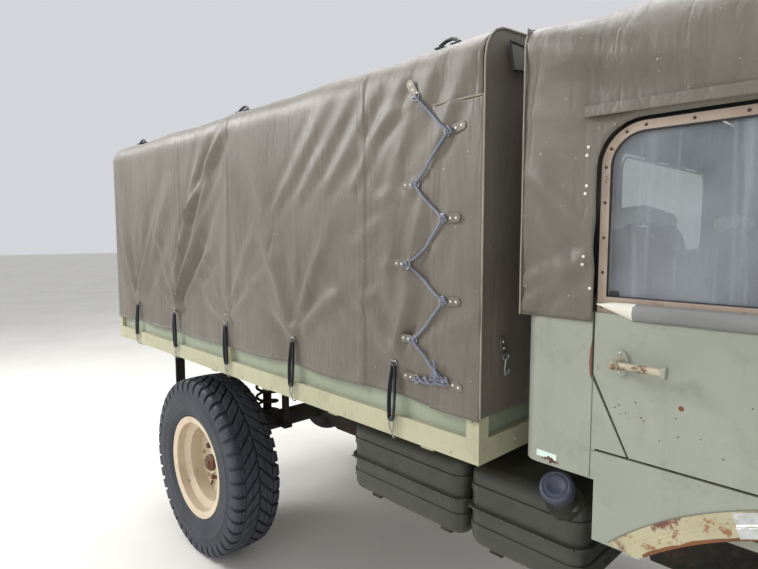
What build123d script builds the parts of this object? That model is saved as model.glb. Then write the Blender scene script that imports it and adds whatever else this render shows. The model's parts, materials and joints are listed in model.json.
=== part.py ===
from build123d import *
import math
import os

# Light four-wheel-drive cargo truck with a soft-top cab and a covered bed.
# Millimetres. X points forward, Y to the left, Z up, ground at Z = 0, X = 0 halfway along.

# Wheels and axles
WHEELBASE = 2900
FRONT_OVERHANG = 800
REAR_OVERHANG = 836
HALF_TRACK = 827
TYRE_R = 495
TYRE_W = 272
TREAD_DEPTH = 16
LUG_PITCHES = 26
SHOULDER_LUG_W = 56
CENTRE_LUG_W = 44
LUG_LEAN = 12
RIM_FLANGE_R = 282
RIM_HALF_W = 118
RIM_WALL = 7
RIM_WELL_R = 215
BEAD_R = 254
DISC_Y = -26
DISC_T = 12
HUB_R = 82
HUB_CAP_R = 46
HUB_END_Y = 37
DRUM_R = 165
VENTS = 8
VENT_R = 178
VENT_HOLE_R = 13
SLOT_ANGLE = 300
SLOT_LENGTH = 62
PORTAL_DROP = 150
AXLE_TUBE_R = 55
DIFF_R = 150
KINGPIN_Y = 640
STEER_ARM = 200
TIE_ROD_R = 14
TIE_ROD_DROP = 105
TIE_PIN_R = 11

# Chassis frame
FRAME_HALF_W = 380
RAIL_H = 120
RAIL_FLANGE = 60
RAIL_T = 7
JAW_BORE_R = 14
RAIL_TOP_Z = 960
RAIL_DROP = 120
SPRING_Y = 470
SPRING_R = 62
SPRING_WIRE_R = 9
SPRING_TURNS = 4

# Cab
CAB_GAP = 107
CAB_HALF_W = 1000
WALL_T = 45
GAP = 6
QUARTER_BOTTOM_Z = 1195
SILL_BOTTOM_Z = 1045
WAIST_Z = 1600
FLOOR_TOP_Z = 1150
FLOOR_T = 20
CAB_LENGTH = 1060
DOOR_REAR = 191
DOOR_LENGTH = 760
DOOR_BOTTOM_Z = 1272
DOOR_CUT_Z = 1453
DOOR_CUT_X = 89
SIDE_SEAM = 200
WINDOW_BOTTOM_Z = 1622
WINDOW_TOP_Z = 2031
WINDOW_BAR = 20
WINDOW_T = 22
WINDOW_CORNER_R = 95
WINDOW_LEAN = 48
GLASS_T = 5
ARCH_R = 740
ARCH_LIP_W = 26
ARCH_LIP_T = 9
WING_EDGE_R = 18
NOSE_LENGTH = 690
WING_INNER_Y = 600
WING_TOP_Z = 1272
WING_NOSE_Z = 1215
BONNET_FRONT_Z = 1400
BONNET_CROWN = 28
ROOF_Z = 2300
ROOF_CROWN = 45
COVER_T = 8

# Bed
BED_SETBACK = 915
BED_OVERHANG = 805
BED_HALF_W = 1040
BED_RAIL_Z = 1144
BED_RAIL_H = 70
BED_RAIL_W = 45
BOARD_H = 400
BOARD_T = 24
BOARD_INSET = 18
POST_W = 44
FLOOR_BOARD_T = 25
BEARER_H = 60
BEARER_SETBACK = 230
BOW_LEDGE_W = 37
TARP_BOTTOM_Z = 1278
TARP_EAVE_Z = 2330
TARP_CROWN = 60
TARP_CORNER_R = 95
TARP_T = 8
CLOTH_CLEAR = 0.4
PIN_CLEAR = 0.3
BOW_R = 15
BOW_COUNT = 5

# Places worked out from the sizes above
HALF_LENGTH = (FRONT_OVERHANG + WHEELBASE + REAR_OVERHANG) / 2
FRONT_AXLE_X = HALF_LENGTH - FRONT_OVERHANG
REAR_AXLE_X = FRONT_AXLE_X - WHEELBASE
AXLE_Z = TYRE_R
TUBE_Z = AXLE_Z + PORTAL_DROP
BED_FRONT_X = FRONT_AXLE_X - BED_SETBACK
BED_REAR_X = REAR_AXLE_X - BED_OVERHANG
BED_LENGTH = BED_FRONT_X - BED_REAR_X
CAB_REAR_X = BED_FRONT_X + CAB_GAP
SCUTTLE_X = CAB_REAR_X + CAB_LENGTH
NOSE_X = FRONT_AXLE_X + NOSE_LENGTH
DOOR_REAR_X = CAB_REAR_X + DOOR_REAR
DOOR_FRONT_X = DOOR_REAR_X + DOOR_LENGTH
BED_FLOOR_Z = BED_RAIL_Z + BED_RAIL_H - 14
BED_TOP_Z = BED_RAIL_Z + BED_RAIL_H + BOARD_H

# Fitted dimensions that follow from the ones above
HOUSING_Y = KINGPIN_Y + 50
HOUSING_T = HALF_TRACK + DISC_Y - DISC_T - 36 - 6 - HOUSING_Y
HOUSING_R = 78
FLANGE_REACH = 175
DAMPER_Y = 425
DAMPER_X = 130
SPRING_SEAT_Z = TUBE_Z + AXLE_TUBE_R + 12
SPRING_TOP_Z = RAIL_TOP_Z + 12
BARREL_R = 46
YOKE_GAP = 68
GEARBOX_X = (FRONT_AXLE_X - 760, FRONT_AXLE_X - 420)
GEARBOX_HALF_W = 170
TANK_OUTER_Y = 900
TANK_DEPTH = 400
TANK_BOTTOM_Z = 806
TANK_H = 262
TANK_REAR = (BED_FRONT_X - 700, BED_FRONT_X - 160)
TANK_FRONT = (BED_FRONT_X - 145, BED_FRONT_X + 238)
TANK_ARMS = (BED_FRONT_X - 600, BED_FRONT_X - 260, BED_FRONT_X - 60, BED_FRONT_X + 160)
NECK_X = BED_FRONT_X + 165
CAP_R = 45
CAP_T = 30
CAP_GROOVES = 18
CAP_GROOVE_R = 3.5
SEAT_BASE_Z = QUARTER_BOTTOM_Z + 140
FIREWALL_T = 25
ENGINE_COVER_HALF_W = 245
ENGINE_COVER_TOP = FLOOR_TOP_Z + 230
LAMP_Y = 800
LAMP_Z = 1010
LAMP_R = 95
GRILLE_HALF_W = 430
GRILLE_Z = (905, 1290)
GRILLE_COLUMNS = 13
GRILLE_ROWS = 6
BONNET_T = 14
BONNET_CORNER_R = 120
SCREEN_BASE_X = SCUTTLE_X - 90
SCREEN_LEAN = 60
SCREEN_T = 32
SCREEN_TOP_Z = 2150
SCREEN_HALF_W = 930
SCREEN_CORNER_R = 90
COLUMN_R = 22
WHEEL_X = SCUTTLE_X - 330
WHEEL_Y = 505
WHEEL_Z = 1640
STEER_R = 205
COLUMN_DIR = Vector(0.62, 0, -0.78)
HUB_REACH = 32
TAILGATE_T = 28
HINGE_PIN_R = 5
HINGE_BARREL_R = 9
HINGE_HALF_W = 50
HINGE_EAR_T = 16
BONNET_HINGE = (SCUTTLE_X + 3, WAIST_Z + HINGE_BARREL_R)
BONNET_HINGE_Y = 380
GATE_HINGE = (BED_REAR_X - HINGE_BARREL_R, BED_RAIL_Z + BED_RAIL_H + 8)
GATE_HINGE_Y = (-700, 0, 700)
BUMPER_Z = (640, 810)
BUMPER_HALF_W = CAB_HALF_W - 40
BUMPER_T = 8
BUMPER_DEPTH = 70
MEMBER_Y = FRAME_HALF_W - RAIL_FLANGE / 2
MEMBER_HALF_W = 30
SILL_REAR_X = FRONT_AXLE_X + 560
CHIN_Z = 790
NOSE_BOTTOM_Z = 820
FLASHER_R = 32
LEVER_REACH = 35
LEVER_LENGTH = 105
LEVER_R = 8
LEVER_Z = 1490
STAY_BOTTOM_Z = 640
STAY_X = BED_REAR_X + BEARER_SETBACK
STAY_Y = (730, 790)

nodes = {}


def side_plate(points, y0, y1):
    """A flat outline in X and Z, made solid between two Y values."""
    wire = Polyline(*[(x, y0, z) for x, z in points], close=True)
    return extrude(make_face(wire), amount=y1 - y0, dir=(0, 1, 0))


def cross_plate(points, x0, x1):
    """A flat outline in Y and Z, made solid between two X values."""
    wire = Polyline(*[(x0, y, z) for y, z in points], close=True)
    return extrude(make_face(wire), amount=x1 - x0, dir=(1, 0, 0))


def block(x, y, z):
    """A box from three (low, high) pairs."""
    size = [high - low for low, high in (x, y, z)]
    middle = [(high + low) / 2 for low, high in (x, y, z)]
    return Pos(*middle) * Box(*size)


def rod(start, end, radius):
    """A round bar between two points."""
    line = Vector(*end) - Vector(*start)
    plane = Plane(origin=start, z_dir=line)
    return extrude(plane * Circle(radius), amount=line.length)


def round_end(shape, direction, radius):
    """Rounds the circular edge that lies furthest along a direction."""
    rims = shape.edges().filter_by(GeomType.CIRCLE)
    return fillet(max(rims, key=lambda edge: edge.center().dot(Vector(*direction))), radius)


def hinge_barrel(x, z, y):
    """The turning half of a hinge, bored for its pin."""
    barrel = rod((x, y - HINGE_HALF_W, z), (x, y + HINGE_HALF_W, z), HINGE_BARREL_R)
    return barrel - hinge_pin(x, z, y, HINGE_PIN_R + PIN_CLEAR)


def hinge_pin(x, z, y, radius):
    reach = HINGE_HALF_W + 2 + HINGE_EAR_T
    return rod((x, y - reach, z), (x, y + reach, z), radius)


def hinge_ears(x, z, y, foot_x, foot_z):
    """The two fixed ears beside a hinge's barrel, round about the pin and each on its foot."""
    near = HINGE_HALF_W + 2
    ears = []
    for low, high in ((-near - HINGE_EAR_T, -near), (near, near + HINGE_EAR_T)):
        ears.append(rod((x, y + low, z), (x, y + high, z), HINGE_BARREL_R))
        ears.append(block(foot_x, (y + low, y + high), foot_z))
    return ears


def both_sides(shape):
    """The shape and its mirror image across the middle of the truck."""
    return [shape, mirror(shape, about=Plane.XZ)]


def fuse(parts):
    whole = parts[0]
    for part in parts[1:]:
        whole = whole + part
    return whole


def solids(*parts):
    """One compound of solids that stay separate."""
    found = []
    for part in parts:
        found.extend(part.solids())
    return Compound(children=found)


def turned(profile):
    """A solid of revolution about the Y axis from (radius, y) points."""
    wire = Polyline(*[(r, y, 0) for r, y in profile], close=True)
    return revolve(make_face(wire), axis=Axis.Y)


def make_rim():
    """Deep-dish disc wheel with hub and drum, outer side towards +Y."""
    w = RIM_HALF_W
    t = RIM_WALL
    rim = turned([
        (RIM_FLANGE_R, w), (RIM_FLANGE_R, w - t), (BEAD_R, w - 2 * t), (BEAD_R, 0.52 * w),
        (RIM_WELL_R, 0.34 * w), (RIM_WELL_R, -0.34 * w), (BEAD_R, -0.52 * w),
        (BEAD_R, 2 * t - w), (RIM_FLANGE_R, t - w), (RIM_FLANGE_R, -w),
        (BEAD_R - t, 1.2 * t - w), (BEAD_R - t, -0.56 * w), (RIM_WELL_R - t, -0.38 * w),
        (RIM_WELL_R - t, 0.38 * w), (BEAD_R - t, 0.56 * w), (BEAD_R - t, w - 1.2 * t)])
    disc_back = DISC_Y - DISC_T
    disc = turned([
        (0, disc_back), (0, DISC_Y + 8), (HUB_R + 40, DISC_Y + 8), (HUB_R + 60, DISC_Y),
        (RIM_WELL_R - t / 2, DISC_Y), (RIM_WELL_R - t / 2, disc_back)])
    for i in range(VENTS):
        angle = 2 * math.pi * i / VENTS
        x, z = VENT_R * math.cos(angle), VENT_R * math.sin(angle)
        disc = disc - rod((x, DISC_Y - 30, z), (x, DISC_Y + 30, z), VENT_HOLE_R)
    slot = Rot(90, 0, 0) * extrude(SlotOverall(SLOT_LENGTH, 2 * VENT_HOLE_R), amount=30, both=True)
    disc = disc - Rot(0, -SLOT_ANGLE, 0) * Pos(VENT_R, DISC_Y, 0) * Rot(0, 90, 0) * slot
    hub = turned([
        (0, DISC_Y), (HUB_R, DISC_Y), (HUB_R, DISC_Y + 24), (HUB_CAP_R + 8, DISC_Y + 34),
        (HUB_CAP_R, DISC_Y + 40), (HUB_CAP_R, HUB_END_Y - 6), (HUB_CAP_R - 8, HUB_END_Y), (0, HUB_END_Y)])
    drum = turned([(0, disc_back - 36), (DRUM_R, disc_back - 36), (DRUM_R, disc_back), (0, disc_back)])
    return fuse([rim, disc, hub, drum])


def tread_block(shape, angle):
    """Turns a block modelled at the front of the tyre to its place round it."""
    return Rot(0, angle, 0) * shape


def make_tyre():
    """Cross-country tyre: a carcass with slanted shoulder lugs and a zigzag row of centre blocks."""
    r = TYRE_R
    h = TYRE_W / 2
    d = TREAD_DEPTH
    wall = [(BEAD_R, 104), (RIM_FLANGE_R + 2, 111), (RIM_FLANGE_R + 30, h - 8), (r - 7 * d, h - 3)]
    outline = wall + [(r - 3 * d, h - 10), (r - 1.6 * d, h - 26), (r - d, h - 44)]
    inside = [(BEAD_R, -0.52 * RIM_HALF_W), (BEAD_R + 30, -40), (BEAD_R + 30, 40),
              (BEAD_R, 0.52 * RIM_HALF_W)]
    carcass = turned(outline + [(radius, -y) for radius, y in reversed(outline)] + inside)

    half = SHOULDER_LUG_W / 2
    top = math.sqrt(r * r - (half + 8) ** 2)
    side_view = Polyline(
        (r - 2 * d, 50), (top, 50), (top, h - 28), (r - 1.4 * d, h - 9), (r - 4.6 * d, h - 6),
        (r - 5 * d, h - 18), (r - 2 * d, h - 42), close=True)
    shoulder = extrude(make_face(side_view), amount=half, both=True)
    drift = (h - 55) * math.sin(math.radians(LUG_LEAN))
    shoulder = Pos(0, 0, -drift) * Rot(LUG_LEAN, 0, 0) * shoulder
    half = CENTRE_LUG_W / 2
    plan = Polyline((-38, -half - 6), (-6, -half + 8), (38, -half - 6), (38, half - 6), (-6, half + 8),
                    (-38, half - 6), close=True)
    crown = Plane(origin=(r - 2 * d, 0, 0), x_dir=(0, 1, 0), z_dir=(1, 0, 0))
    centre = extrude(crown * make_face(plan), amount=top - r + 2 * d)
    pitch = 360 / LUG_PITCHES
    blocks = []
    for i in range(LUG_PITCHES):
        blocks.append(tread_block(shoulder, i * pitch))
        blocks.append(tread_block(mirror(shoulder, about=Plane.XZ), (i + 0.5) * pitch))
        blocks.append(tread_block(centre, (i + 0.25) * pitch))
    return carcass.fuse(*blocks)


def make_wheels():
    corners = {"front": FRONT_AXLE_X, "rear": REAR_AXLE_X}
    shapes = {"wheel": make_rim(), "tyre": make_tyre()}
    for corner, x in corners.items():
        for side, sign in (("left", 1), ("right", -1)):
            for name, shape in shapes.items():
                placed = shape if sign > 0 else mirror(shape, about=Plane.XZ)
                nodes[f"{name}_{corner}_{side}"] = Pos(x, sign * HALF_TRACK, AXLE_Z) * placed


def portal_housing(x):
    """Left reduction gear housing between the axle tube and the wheel."""
    ends = [Pos(x, HOUSING_Y, z) * Rot(-90, 0, 0) * Cylinder(
        HOUSING_R, HOUSING_T, align=(Align.CENTER, Align.CENTER, Align.MIN)) for z in (AXLE_Z, TUBE_Z)]
    middle = block((x - HOUSING_R, x + HOUSING_R), (HOUSING_Y, HOUSING_Y + HOUSING_T), (AXLE_Z, TUBE_Z))
    spindle = rod((x, HOUSING_Y + HOUSING_T, AXLE_Z), (x, HALF_TRACK + DISC_Y - DISC_T - 36, AXLE_Z), 40)
    return fuse(ends + [middle, spindle])


def differential(x, towards):
    """Round housing with a flange for the torque tube, forwards (1) or backwards (-1)."""
    ball = Pos(x, 0, TUBE_Z) * Sphere(DIFF_R)
    slab = block((x - DIFF_R, x + DIFF_R), (-105, 105), (TUBE_Z - DIFF_R, TUBE_Z + DIFF_R))
    neck = rod((x, 0, TUBE_Z), (x + towards * FLANGE_REACH, 0, TUBE_Z), 62)
    return (ball & slab) + neck


def spring_seats(x):
    """Spring pads and damper lugs on top of an axle tube."""
    pad = Pos(x, SPRING_Y, TUBE_Z) * Cylinder(
        SPRING_R + 14, SPRING_SEAT_Z - TUBE_Z, align=(Align.CENTER, Align.CENTER, Align.MIN))
    lug = block((x, x + 160), (DAMPER_Y - 26, DAMPER_Y + 26), (TUBE_Z - 12, TUBE_Z + 12))
    return both_sides(pad + lug)


def make_front_axle():
    x = FRONT_AXLE_X
    tube_end = KINGPIN_Y - BARREL_R - 12
    tube = rod((x, -tube_end, TUBE_Z), (x, tube_end, TUBE_Z), AXLE_TUBE_R)
    parts = [differential(x, -1), tube] + spring_seats(x)
    for z in (TUBE_Z - YOKE_GAP - 24, TUBE_Z + YOKE_GAP):
        tongue = block((x - 36, x + 36), (tube_end - 34, KINGPIN_Y), (z, z + 24))
        eye = Pos(x, KINGPIN_Y, z) * Cylinder(36, 24, align=(Align.CENTER, Align.CENTER, Align.MIN))
        cheek = block((x - 36, x + 36), (tube_end - 34, tube_end), sorted((z + 12, TUBE_Z)))
        pin_z = sorted((z + 12, TUBE_Z + (30 if z > TUBE_Z else -30)))
        pin = rod((x, KINGPIN_Y, pin_z[0]), (x, KINGPIN_Y, pin_z[1]), 16)
        parts += both_sides(fuse([tongue, eye, cheek, pin]))
    nodes["front_axle"] = fuse(parts)


def make_knuckles():
    x = FRONT_AXLE_X
    height = 2 * (YOKE_GAP - 5)
    barrel = Pos(x, KINGPIN_Y, TUBE_Z) * Cylinder(BARREL_R, height)
    bore = Pos(x, KINGPIN_Y, TUBE_Z) * Cylinder(16.3, height + 2)
    web = block((x - 30, x + 30), (KINGPIN_Y, HOUSING_Y + 5), (TUBE_Z - 55, TUBE_Z + 55))
    arm_z = AXLE_Z + PORTAL_DROP - TIE_ROD_DROP + 38
    arm_span = (arm_z - 10, arm_z + 12)
    arm = block((x - STEER_ARM, x - HOUSING_R), (KINGPIN_Y - 24, KINGPIN_Y + 24), arm_span)
    arm_end = Pos(x - STEER_ARM, KINGPIN_Y, arm_z + 1) * Cylinder(24, 22)
    brace = block((x - HOUSING_R - 32, x - HOUSING_R), (KINGPIN_Y - 24, HOUSING_Y + 30), arm_span)
    root = block((x - HOUSING_R - 32, x - 60), (HOUSING_Y - 15, HOUSING_Y + 30), arm_span)
    pin_x = x - STEER_ARM
    pin = rod((pin_x, KINGPIN_Y, arm_z - 5), (pin_x, KINGPIN_Y, TUBE_Z - TIE_ROD_DROP - 16), TIE_PIN_R)
    knuckle = (fuse([barrel, web]) - bore) + fuse([portal_housing(x), arm, arm_end, brace, root, pin])
    nodes["knuckle_left"] = knuckle
    nodes["knuckle_right"] = mirror(knuckle, about=Plane.XZ)


def make_tie_rod():
    x = FRONT_AXLE_X - STEER_ARM
    z = TUBE_Z - TIE_ROD_DROP
    y = KINGPIN_Y
    bar = rod((x, -y, z), (x, y, z), TIE_ROD_R)
    eyes = [Pos(x, s * y, z) * Cylinder(24, 20) for s in (1, -1)]
    bores = [Pos(x, s * y, z) * Cylinder(TIE_PIN_R + PIN_CLEAR, 40) for s in (1, -1)]
    nodes["tie_rod"] = fuse([bar] + eyes) - bores[0] - bores[1]


def make_rear_axle():
    x = REAR_AXLE_X
    tube = rod((x, -HOUSING_Y, TUBE_Z), (x, HOUSING_Y, TUBE_Z), AXLE_TUBE_R)
    nodes["rear_axle"] = fuse([differential(x, 1), tube] + spring_seats(x) + both_sides(portal_housing(x)))


def make_drive_line():
    """Gearbox with the torque tubes that run to both axles."""
    case = block(GEARBOX_X, (-GEARBOX_HALF_W, GEARBOX_HALF_W), (TUBE_Z - 95, TUBE_Z + 235))
    case = fillet(case.edges().filter_by(Axis.X), 50)
    tubes = [
        rod((GEARBOX_X[1] - 10, 0, TUBE_Z), (FRONT_AXLE_X - FLANGE_REACH, 0, TUBE_Z), 48),
        rod((GEARBOX_X[0] + 10, 0, TUBE_Z), (REAR_AXLE_X + FLANGE_REACH, 0, TUBE_Z), 48)]
    nodes["drive_line"] = fuse([case] + tubes)


def rail_line():
    """Top line of a frame rail from rear to front: level, dropped between the axles."""
    low = RAIL_TOP_Z - RAIL_DROP
    return [
        (BED_REAR_X + 40, RAIL_TOP_Z), (REAR_AXLE_X + 330, RAIL_TOP_Z), (REAR_AXLE_X + 560, low),
        (FRONT_AXLE_X - 620, low), (FRONT_AXLE_X - 380, RAIL_TOP_Z), (NOSE_X - 40, RAIL_TOP_Z)]


def band(line, top, height):
    upper = [(x, z - top) for x, z in line]
    lower = [(x, z - top - height) for x, z in reversed(line)]
    return upper + lower


def make_frame():
    line = rail_line()
    w = FRAME_HALF_W
    web = side_plate(band(line, 0, RAIL_H), w - RAIL_T, w)
    flanges = [side_plate(band(line, top, RAIL_T), w - RAIL_FLANGE, w - RAIL_T)
               for top in (0, RAIL_H - RAIL_T)]
    rail = fuse([web] + flanges)
    parts = both_sides(rail)
    inner = w - RAIL_T
    for x, z in (
            (NOSE_X - 90, RAIL_TOP_Z - 60), (GEARBOX_X[0] - 68, RAIL_TOP_Z - RAIL_DROP - 60),
            (0, RAIL_TOP_Z - RAIL_DROP - 60), (REAR_AXLE_X + 240, RAIL_TOP_Z - 60),
            (REAR_AXLE_X - 300, RAIL_TOP_Z - 60), (BED_REAR_X + 110, RAIL_TOP_Z - 60)):
        parts.append(rod((x, -inner, z), (x, inner, z), 38))
    for x in (FRONT_AXLE_X, REAR_AXLE_X):
        tower = block((x - 75, x + 75), (w, SPRING_Y + 75), (SPRING_TOP_Z, SPRING_TOP_Z + 10))
        foot_z = RAIL_TOP_Z - RAIL_H + 20
        gusset = side_plate([(x - 60, SPRING_TOP_Z), (x + 60, SPRING_TOP_Z), (x + 30, foot_z),
                             (x - 30, foot_z)], w, w + 8)
        head = block((x + DAMPER_X - 20, x + DAMPER_X + 20), (w, DAMPER_Y + 20),
                     (RAIL_TOP_Z - 30, RAIL_TOP_Z - 5))
        parts += both_sides(fuse([tower, gusset, head]))
    low = RAIL_TOP_Z - RAIL_DROP
    for x in TANK_ARMS:
        arm = block((x - 22, x + 22), (-TANK_OUTER_Y + 40, -w), (TANK_BOTTOM_Z - 22, TANK_BOTTOM_Z))
        plate = block((x - 22, x + 22), (-w - 8, -w), (TANK_BOTTOM_Z - 22, low))
        parts.append(arm + plate)
        if x < TANK_REAR[1]:
            parts.append(mirror(arm + plate, about=Plane.XZ))
    y = MEMBER_Y
    for x, z0, z1 in (
            (CAB_REAR_X + 90, low, QUARTER_BOTTOM_Z),
            (FRONT_AXLE_X - 340, RAIL_TOP_Z, FLOOR_TOP_Z - FLOOR_T),
            (SCUTTLE_X - 80, RAIL_TOP_Z, FLOOR_TOP_Z - FLOOR_T),
            (BED_FRONT_X - 240, low, RAIL_TOP_Z), (BED_FRONT_X - 980, low, RAIL_TOP_Z)):
        parts += both_sides(block((x - 30, x + 30), (y - 28, y + 28), (z0, z1)))
    hitch_x = BED_REAR_X + 70
    plate = block((hitch_x, hitch_x + 12), (-130, 130), (TUBE_Z + 40, RAIL_TOP_Z - 60))
    shank = rod((hitch_x, 0, TUBE_Z + 100), (-HALF_LENGTH + 45, 0, TUBE_Z + 100), 30)
    jaw = block((-HALF_LENGTH, -HALF_LENGTH + 60), (-55, 55), (TUBE_Z + 55, TUBE_Z + 145))
    mouth = block((-HALF_LENGTH - 5, -HALF_LENGTH + 46), (-60, 60), (TUBE_Z + 82, TUBE_Z + 118))
    bore = rod((-HALF_LENGTH + 22, 0, TUBE_Z), (-HALF_LENGTH + 22, 0, TUBE_Z + 200), JAW_BORE_R)
    parts.append(fuse([plate, shank, jaw - mouth]) - bore)
    nodes["chassis_frame"] = fuse(parts)


def make_tank(span):
    """Two pressed halves with a seam flange and a rib above and below it."""
    y = (-TANK_OUTER_Y, -TANK_OUTER_Y + TANK_DEPTH)
    shell = block(span, y, (TANK_BOTTOM_Z, TANK_BOTTOM_Z + TANK_H))
    shell = fillet(shell.edges().filter_by(Axis.Z), 50)
    shell = fillet(shell.faces().sort_by(Axis.Z)[-1].edges(), 35)
    shell = fillet(shell.faces().sort_by(Axis.Z)[0].edges(), 35)
    x, half = (span[0] + span[1]) / 2, (span[1] - span[0]) / 2
    middle = (y[0] + y[1]) / 2
    for z, grow, height in ((TANK_H / 2, 13, 6), (TANK_H * 0.74, 4, 22), (TANK_H * 0.26, 4, 22)):
        sheet = Pos(x, middle, TANK_BOTTOM_Z + z - height / 2) * RectangleRounded(
            2 * (half + grow), TANK_DEPTH + 2 * grow, 50 + grow)
        shell = shell + extrude(sheet, amount=height)
    return shell


def make_tanks():
    rear = make_tank(TANK_REAR)
    front = make_tank(TANK_FRONT)
    base = Vector(NECK_X, -TANK_OUTER_Y + 75, TANK_BOTTOM_Z + TANK_H - 70)
    up = Vector(0.1, -0.7, 0.7).normalized()
    neck = extrude(Plane(origin=base, z_dir=up) * Circle(CAP_R - 8), amount=150)
    flare = extrude(Plane(origin=base + up * 60, z_dir=up) * Circle(CAP_R + 6), amount=22)
    front = fuse([front, neck, flare])
    nodes["fuel_tanks"] = solids(rear, front)
    cap_plane = Plane(origin=base + up * 150, z_dir=up)
    cap = extrude(cap_plane * Circle(CAP_R), amount=CAP_T)
    cap = round_end(cap, (0, -1, 1), 9)
    for i in range(CAP_GROOVES):
        spot = cap_plane * Rot(0, 0, 360 * i / CAP_GROOVES) * Pos(CAP_R + 1, 0, -1)
        cap = cap - spot * Cylinder(CAP_GROOVE_R, CAP_T - 8, align=(Align.CENTER, Align.CENTER, Align.MIN))
    nodes["fuel_cap"] = cap


def make_battery_box():
    span = (TANK_REAR[0] + 60, TANK_REAR[1])
    y = (TANK_OUTER_Y - TANK_DEPTH + 40, TANK_OUTER_Y - 20)
    box = block(span, y, (TANK_BOTTOM_Z, TANK_BOTTOM_Z + TANK_H))
    lid = block((span[0] - 8, span[1] + 8), (y[0] - 8, y[1] + 8),
                (TANK_BOTTOM_Z + TANK_H - 60, TANK_BOTTOM_Z + TANK_H + 6))
    nodes["battery_box"] = fillet((box + lid).edges().filter_by(Axis.Z), 7)


def make_engine():
    x = (FRONT_AXLE_X - 420, FRONT_AXLE_X + 360)
    parts = [block(x, (-215, 215), (TUBE_Z + 175, FLOOR_TOP_Z + 200))]
    foot_z = RAIL_TOP_Z - RAIL_H + RAIL_T
    for foot_x in (FRONT_AXLE_X - 250, FRONT_AXLE_X + 200):
        parts += both_sides(block(
            (foot_x - 40, foot_x + 40), (200, FRAME_HALF_W - RAIL_T - 3), (foot_z, foot_z + 30)))
    nodes["engine"] = fuse(parts)


def make_exhaust():
    """Pipe from the engine, under the left rail to the silencer and out before the rear wheel."""
    y = FRAME_HALF_W + 130
    z = TUBE_Z + 20
    front_x = BED_FRONT_X - 450
    back_x = front_x - 450
    pipe_y = GEARBOX_HALF_W + 75
    engine_x = FRONT_AXLE_X - 380
    route = [
        (engine_x, 190, TUBE_Z + 175), (engine_x, pipe_y, z), (front_x + 230, pipe_y, z), (front_x, y, z),
        (back_x - 200, y, z), (back_x - 260, TANK_OUTER_Y, z - 20)]
    parts = [rod(a, b, 24) for a, b in zip(route, route[1:])]
    parts += [Pos(*point) * Sphere(24) for point in route[1:-1]]
    parts.append(rod((back_x, y, z), (front_x, y, z), 80))
    for x in (back_x + 50, front_x - 50):
        parts.append(block((x - 15, x + 15), (FRAME_HALF_W, y), (z + 65, z + 75)))
    nodes["exhaust"] = fuse(parts)


def coil(x, y):
    rise = SPRING_TOP_Z - SPRING_SEAT_Z - 2 * SPRING_WIRE_R
    pitch = rise / SPRING_TURNS
    path = Pos(x, y, SPRING_SEAT_Z + SPRING_WIRE_R) * Helix(pitch, rise, SPRING_R)
    section = Plane(origin=path @ 0, z_dir=path % 0) * RegularPolygon(SPRING_WIRE_R, 6)
    return sweep(section, path=path, is_frenet=True)


def make_suspension():
    """Coil springs with their bump stops and dampers, all standing on the axles."""
    parts = []
    for x in (FRONT_AXLE_X, REAR_AXLE_X):
        bump = Pos(x, SPRING_Y, SPRING_SEAT_Z) * Cylinder(
            26, 150, align=(Align.CENTER, Align.CENTER, Align.MIN))
        levels = (TUBE_Z + 12, RAIL_TOP_Z - 120, RAIL_TOP_Z - 30)
        foot, neck, eye = [(x + DAMPER_X, DAMPER_Y, z) for z in levels]
        damper = rod(foot, neck, 22)
        shaft = rod(neck, eye, 15)
        for shape in (coil(x, SPRING_Y), bump, damper + shaft):
            parts += both_sides(shape)
    nodes["suspension"] = solids(*parts)


def make_bumper():
    """Channel-section bumper on the two front frame horns."""
    low, high = BUMPER_Z
    x, back, wall = HALF_LENGTH, HALF_LENGTH - BUMPER_DEPTH, BUMPER_T
    face = x - wall
    outline = [
        (x, low + 12), (x, high - 12), (x - 12, high), (back, high), (back, high - wall),
        (face - 6, high - wall), (face, high - wall - 6), (face, low + wall + 6),
        (face - 6, low + wall), (back, low + wall), (back, low), (x - 12, low)]
    parts = [side_plate(outline, -BUMPER_HALF_W, BUMPER_HALF_W)]
    horn_x = NOSE_X - 120
    for side in (1, -1):
        y = (side * MEMBER_Y - MEMBER_HALF_W, side * MEMBER_Y + MEMBER_HALF_W)
        parts.append(block((horn_x, face), y, (high - 90, high - 20)))
        parts.append(block((horn_x, horn_x + 60), y, (high - 90, RAIL_TOP_Z - RAIL_H)))
    nodes["bumper"] = fuse(parts)


def make_cab_floor():
    """Footwell floor, raised seat platform, engine cover and seat boxes."""
    inner = CAB_HALF_W - WALL_T - GAP
    x0 = CAB_REAR_X + WALL_T
    x1 = SCUTTLE_X - FIREWALL_T
    step = CAB_REAR_X + SIDE_SEAM + 60
    low = (FLOOR_TOP_Z - FLOOR_T, FLOOR_TOP_Z)
    high = (QUARTER_BOTTOM_Z, QUARTER_BOTTOM_Z + FLOOR_T)
    cover_x = FRONT_AXLE_X - 445
    floor = side_plate([
        (x0, high[0]), (step, high[0]), (step, low[0]), (x1, low[0]), (x1, low[1]),
        (step + FLOOR_T, low[1]), (step + FLOOR_T, high[1]), (x0, high[1])], -inner, inner)
    half = ENGINE_COVER_HALF_W
    slot = block((cover_x + 20, x1 + 1), (20 - half, half - 20), (low[0] - 1, low[1] + 1))
    cover = block((cover_x, x1), (-half, half), (low[0], ENGINE_COVER_TOP))
    hollow = block((cover_x + 20, x1 + 1), (20 - half, half - 20), (low[0] - 1, ENGINE_COVER_TOP - 20))
    parts = [floor - slot, cover - hollow]
    for side in (1, -1):
        parts.append(block((x0 + 40, x0 + 440), sorted((side * 270, side * 740)), (low[1], SEAT_BASE_Z)))
    nodes["cab_floor"] = fuse(parts) - block(
        (x0 - 1, step), (-inner - 1, inner + 1), (low[0] - 50, high[0]))


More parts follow.
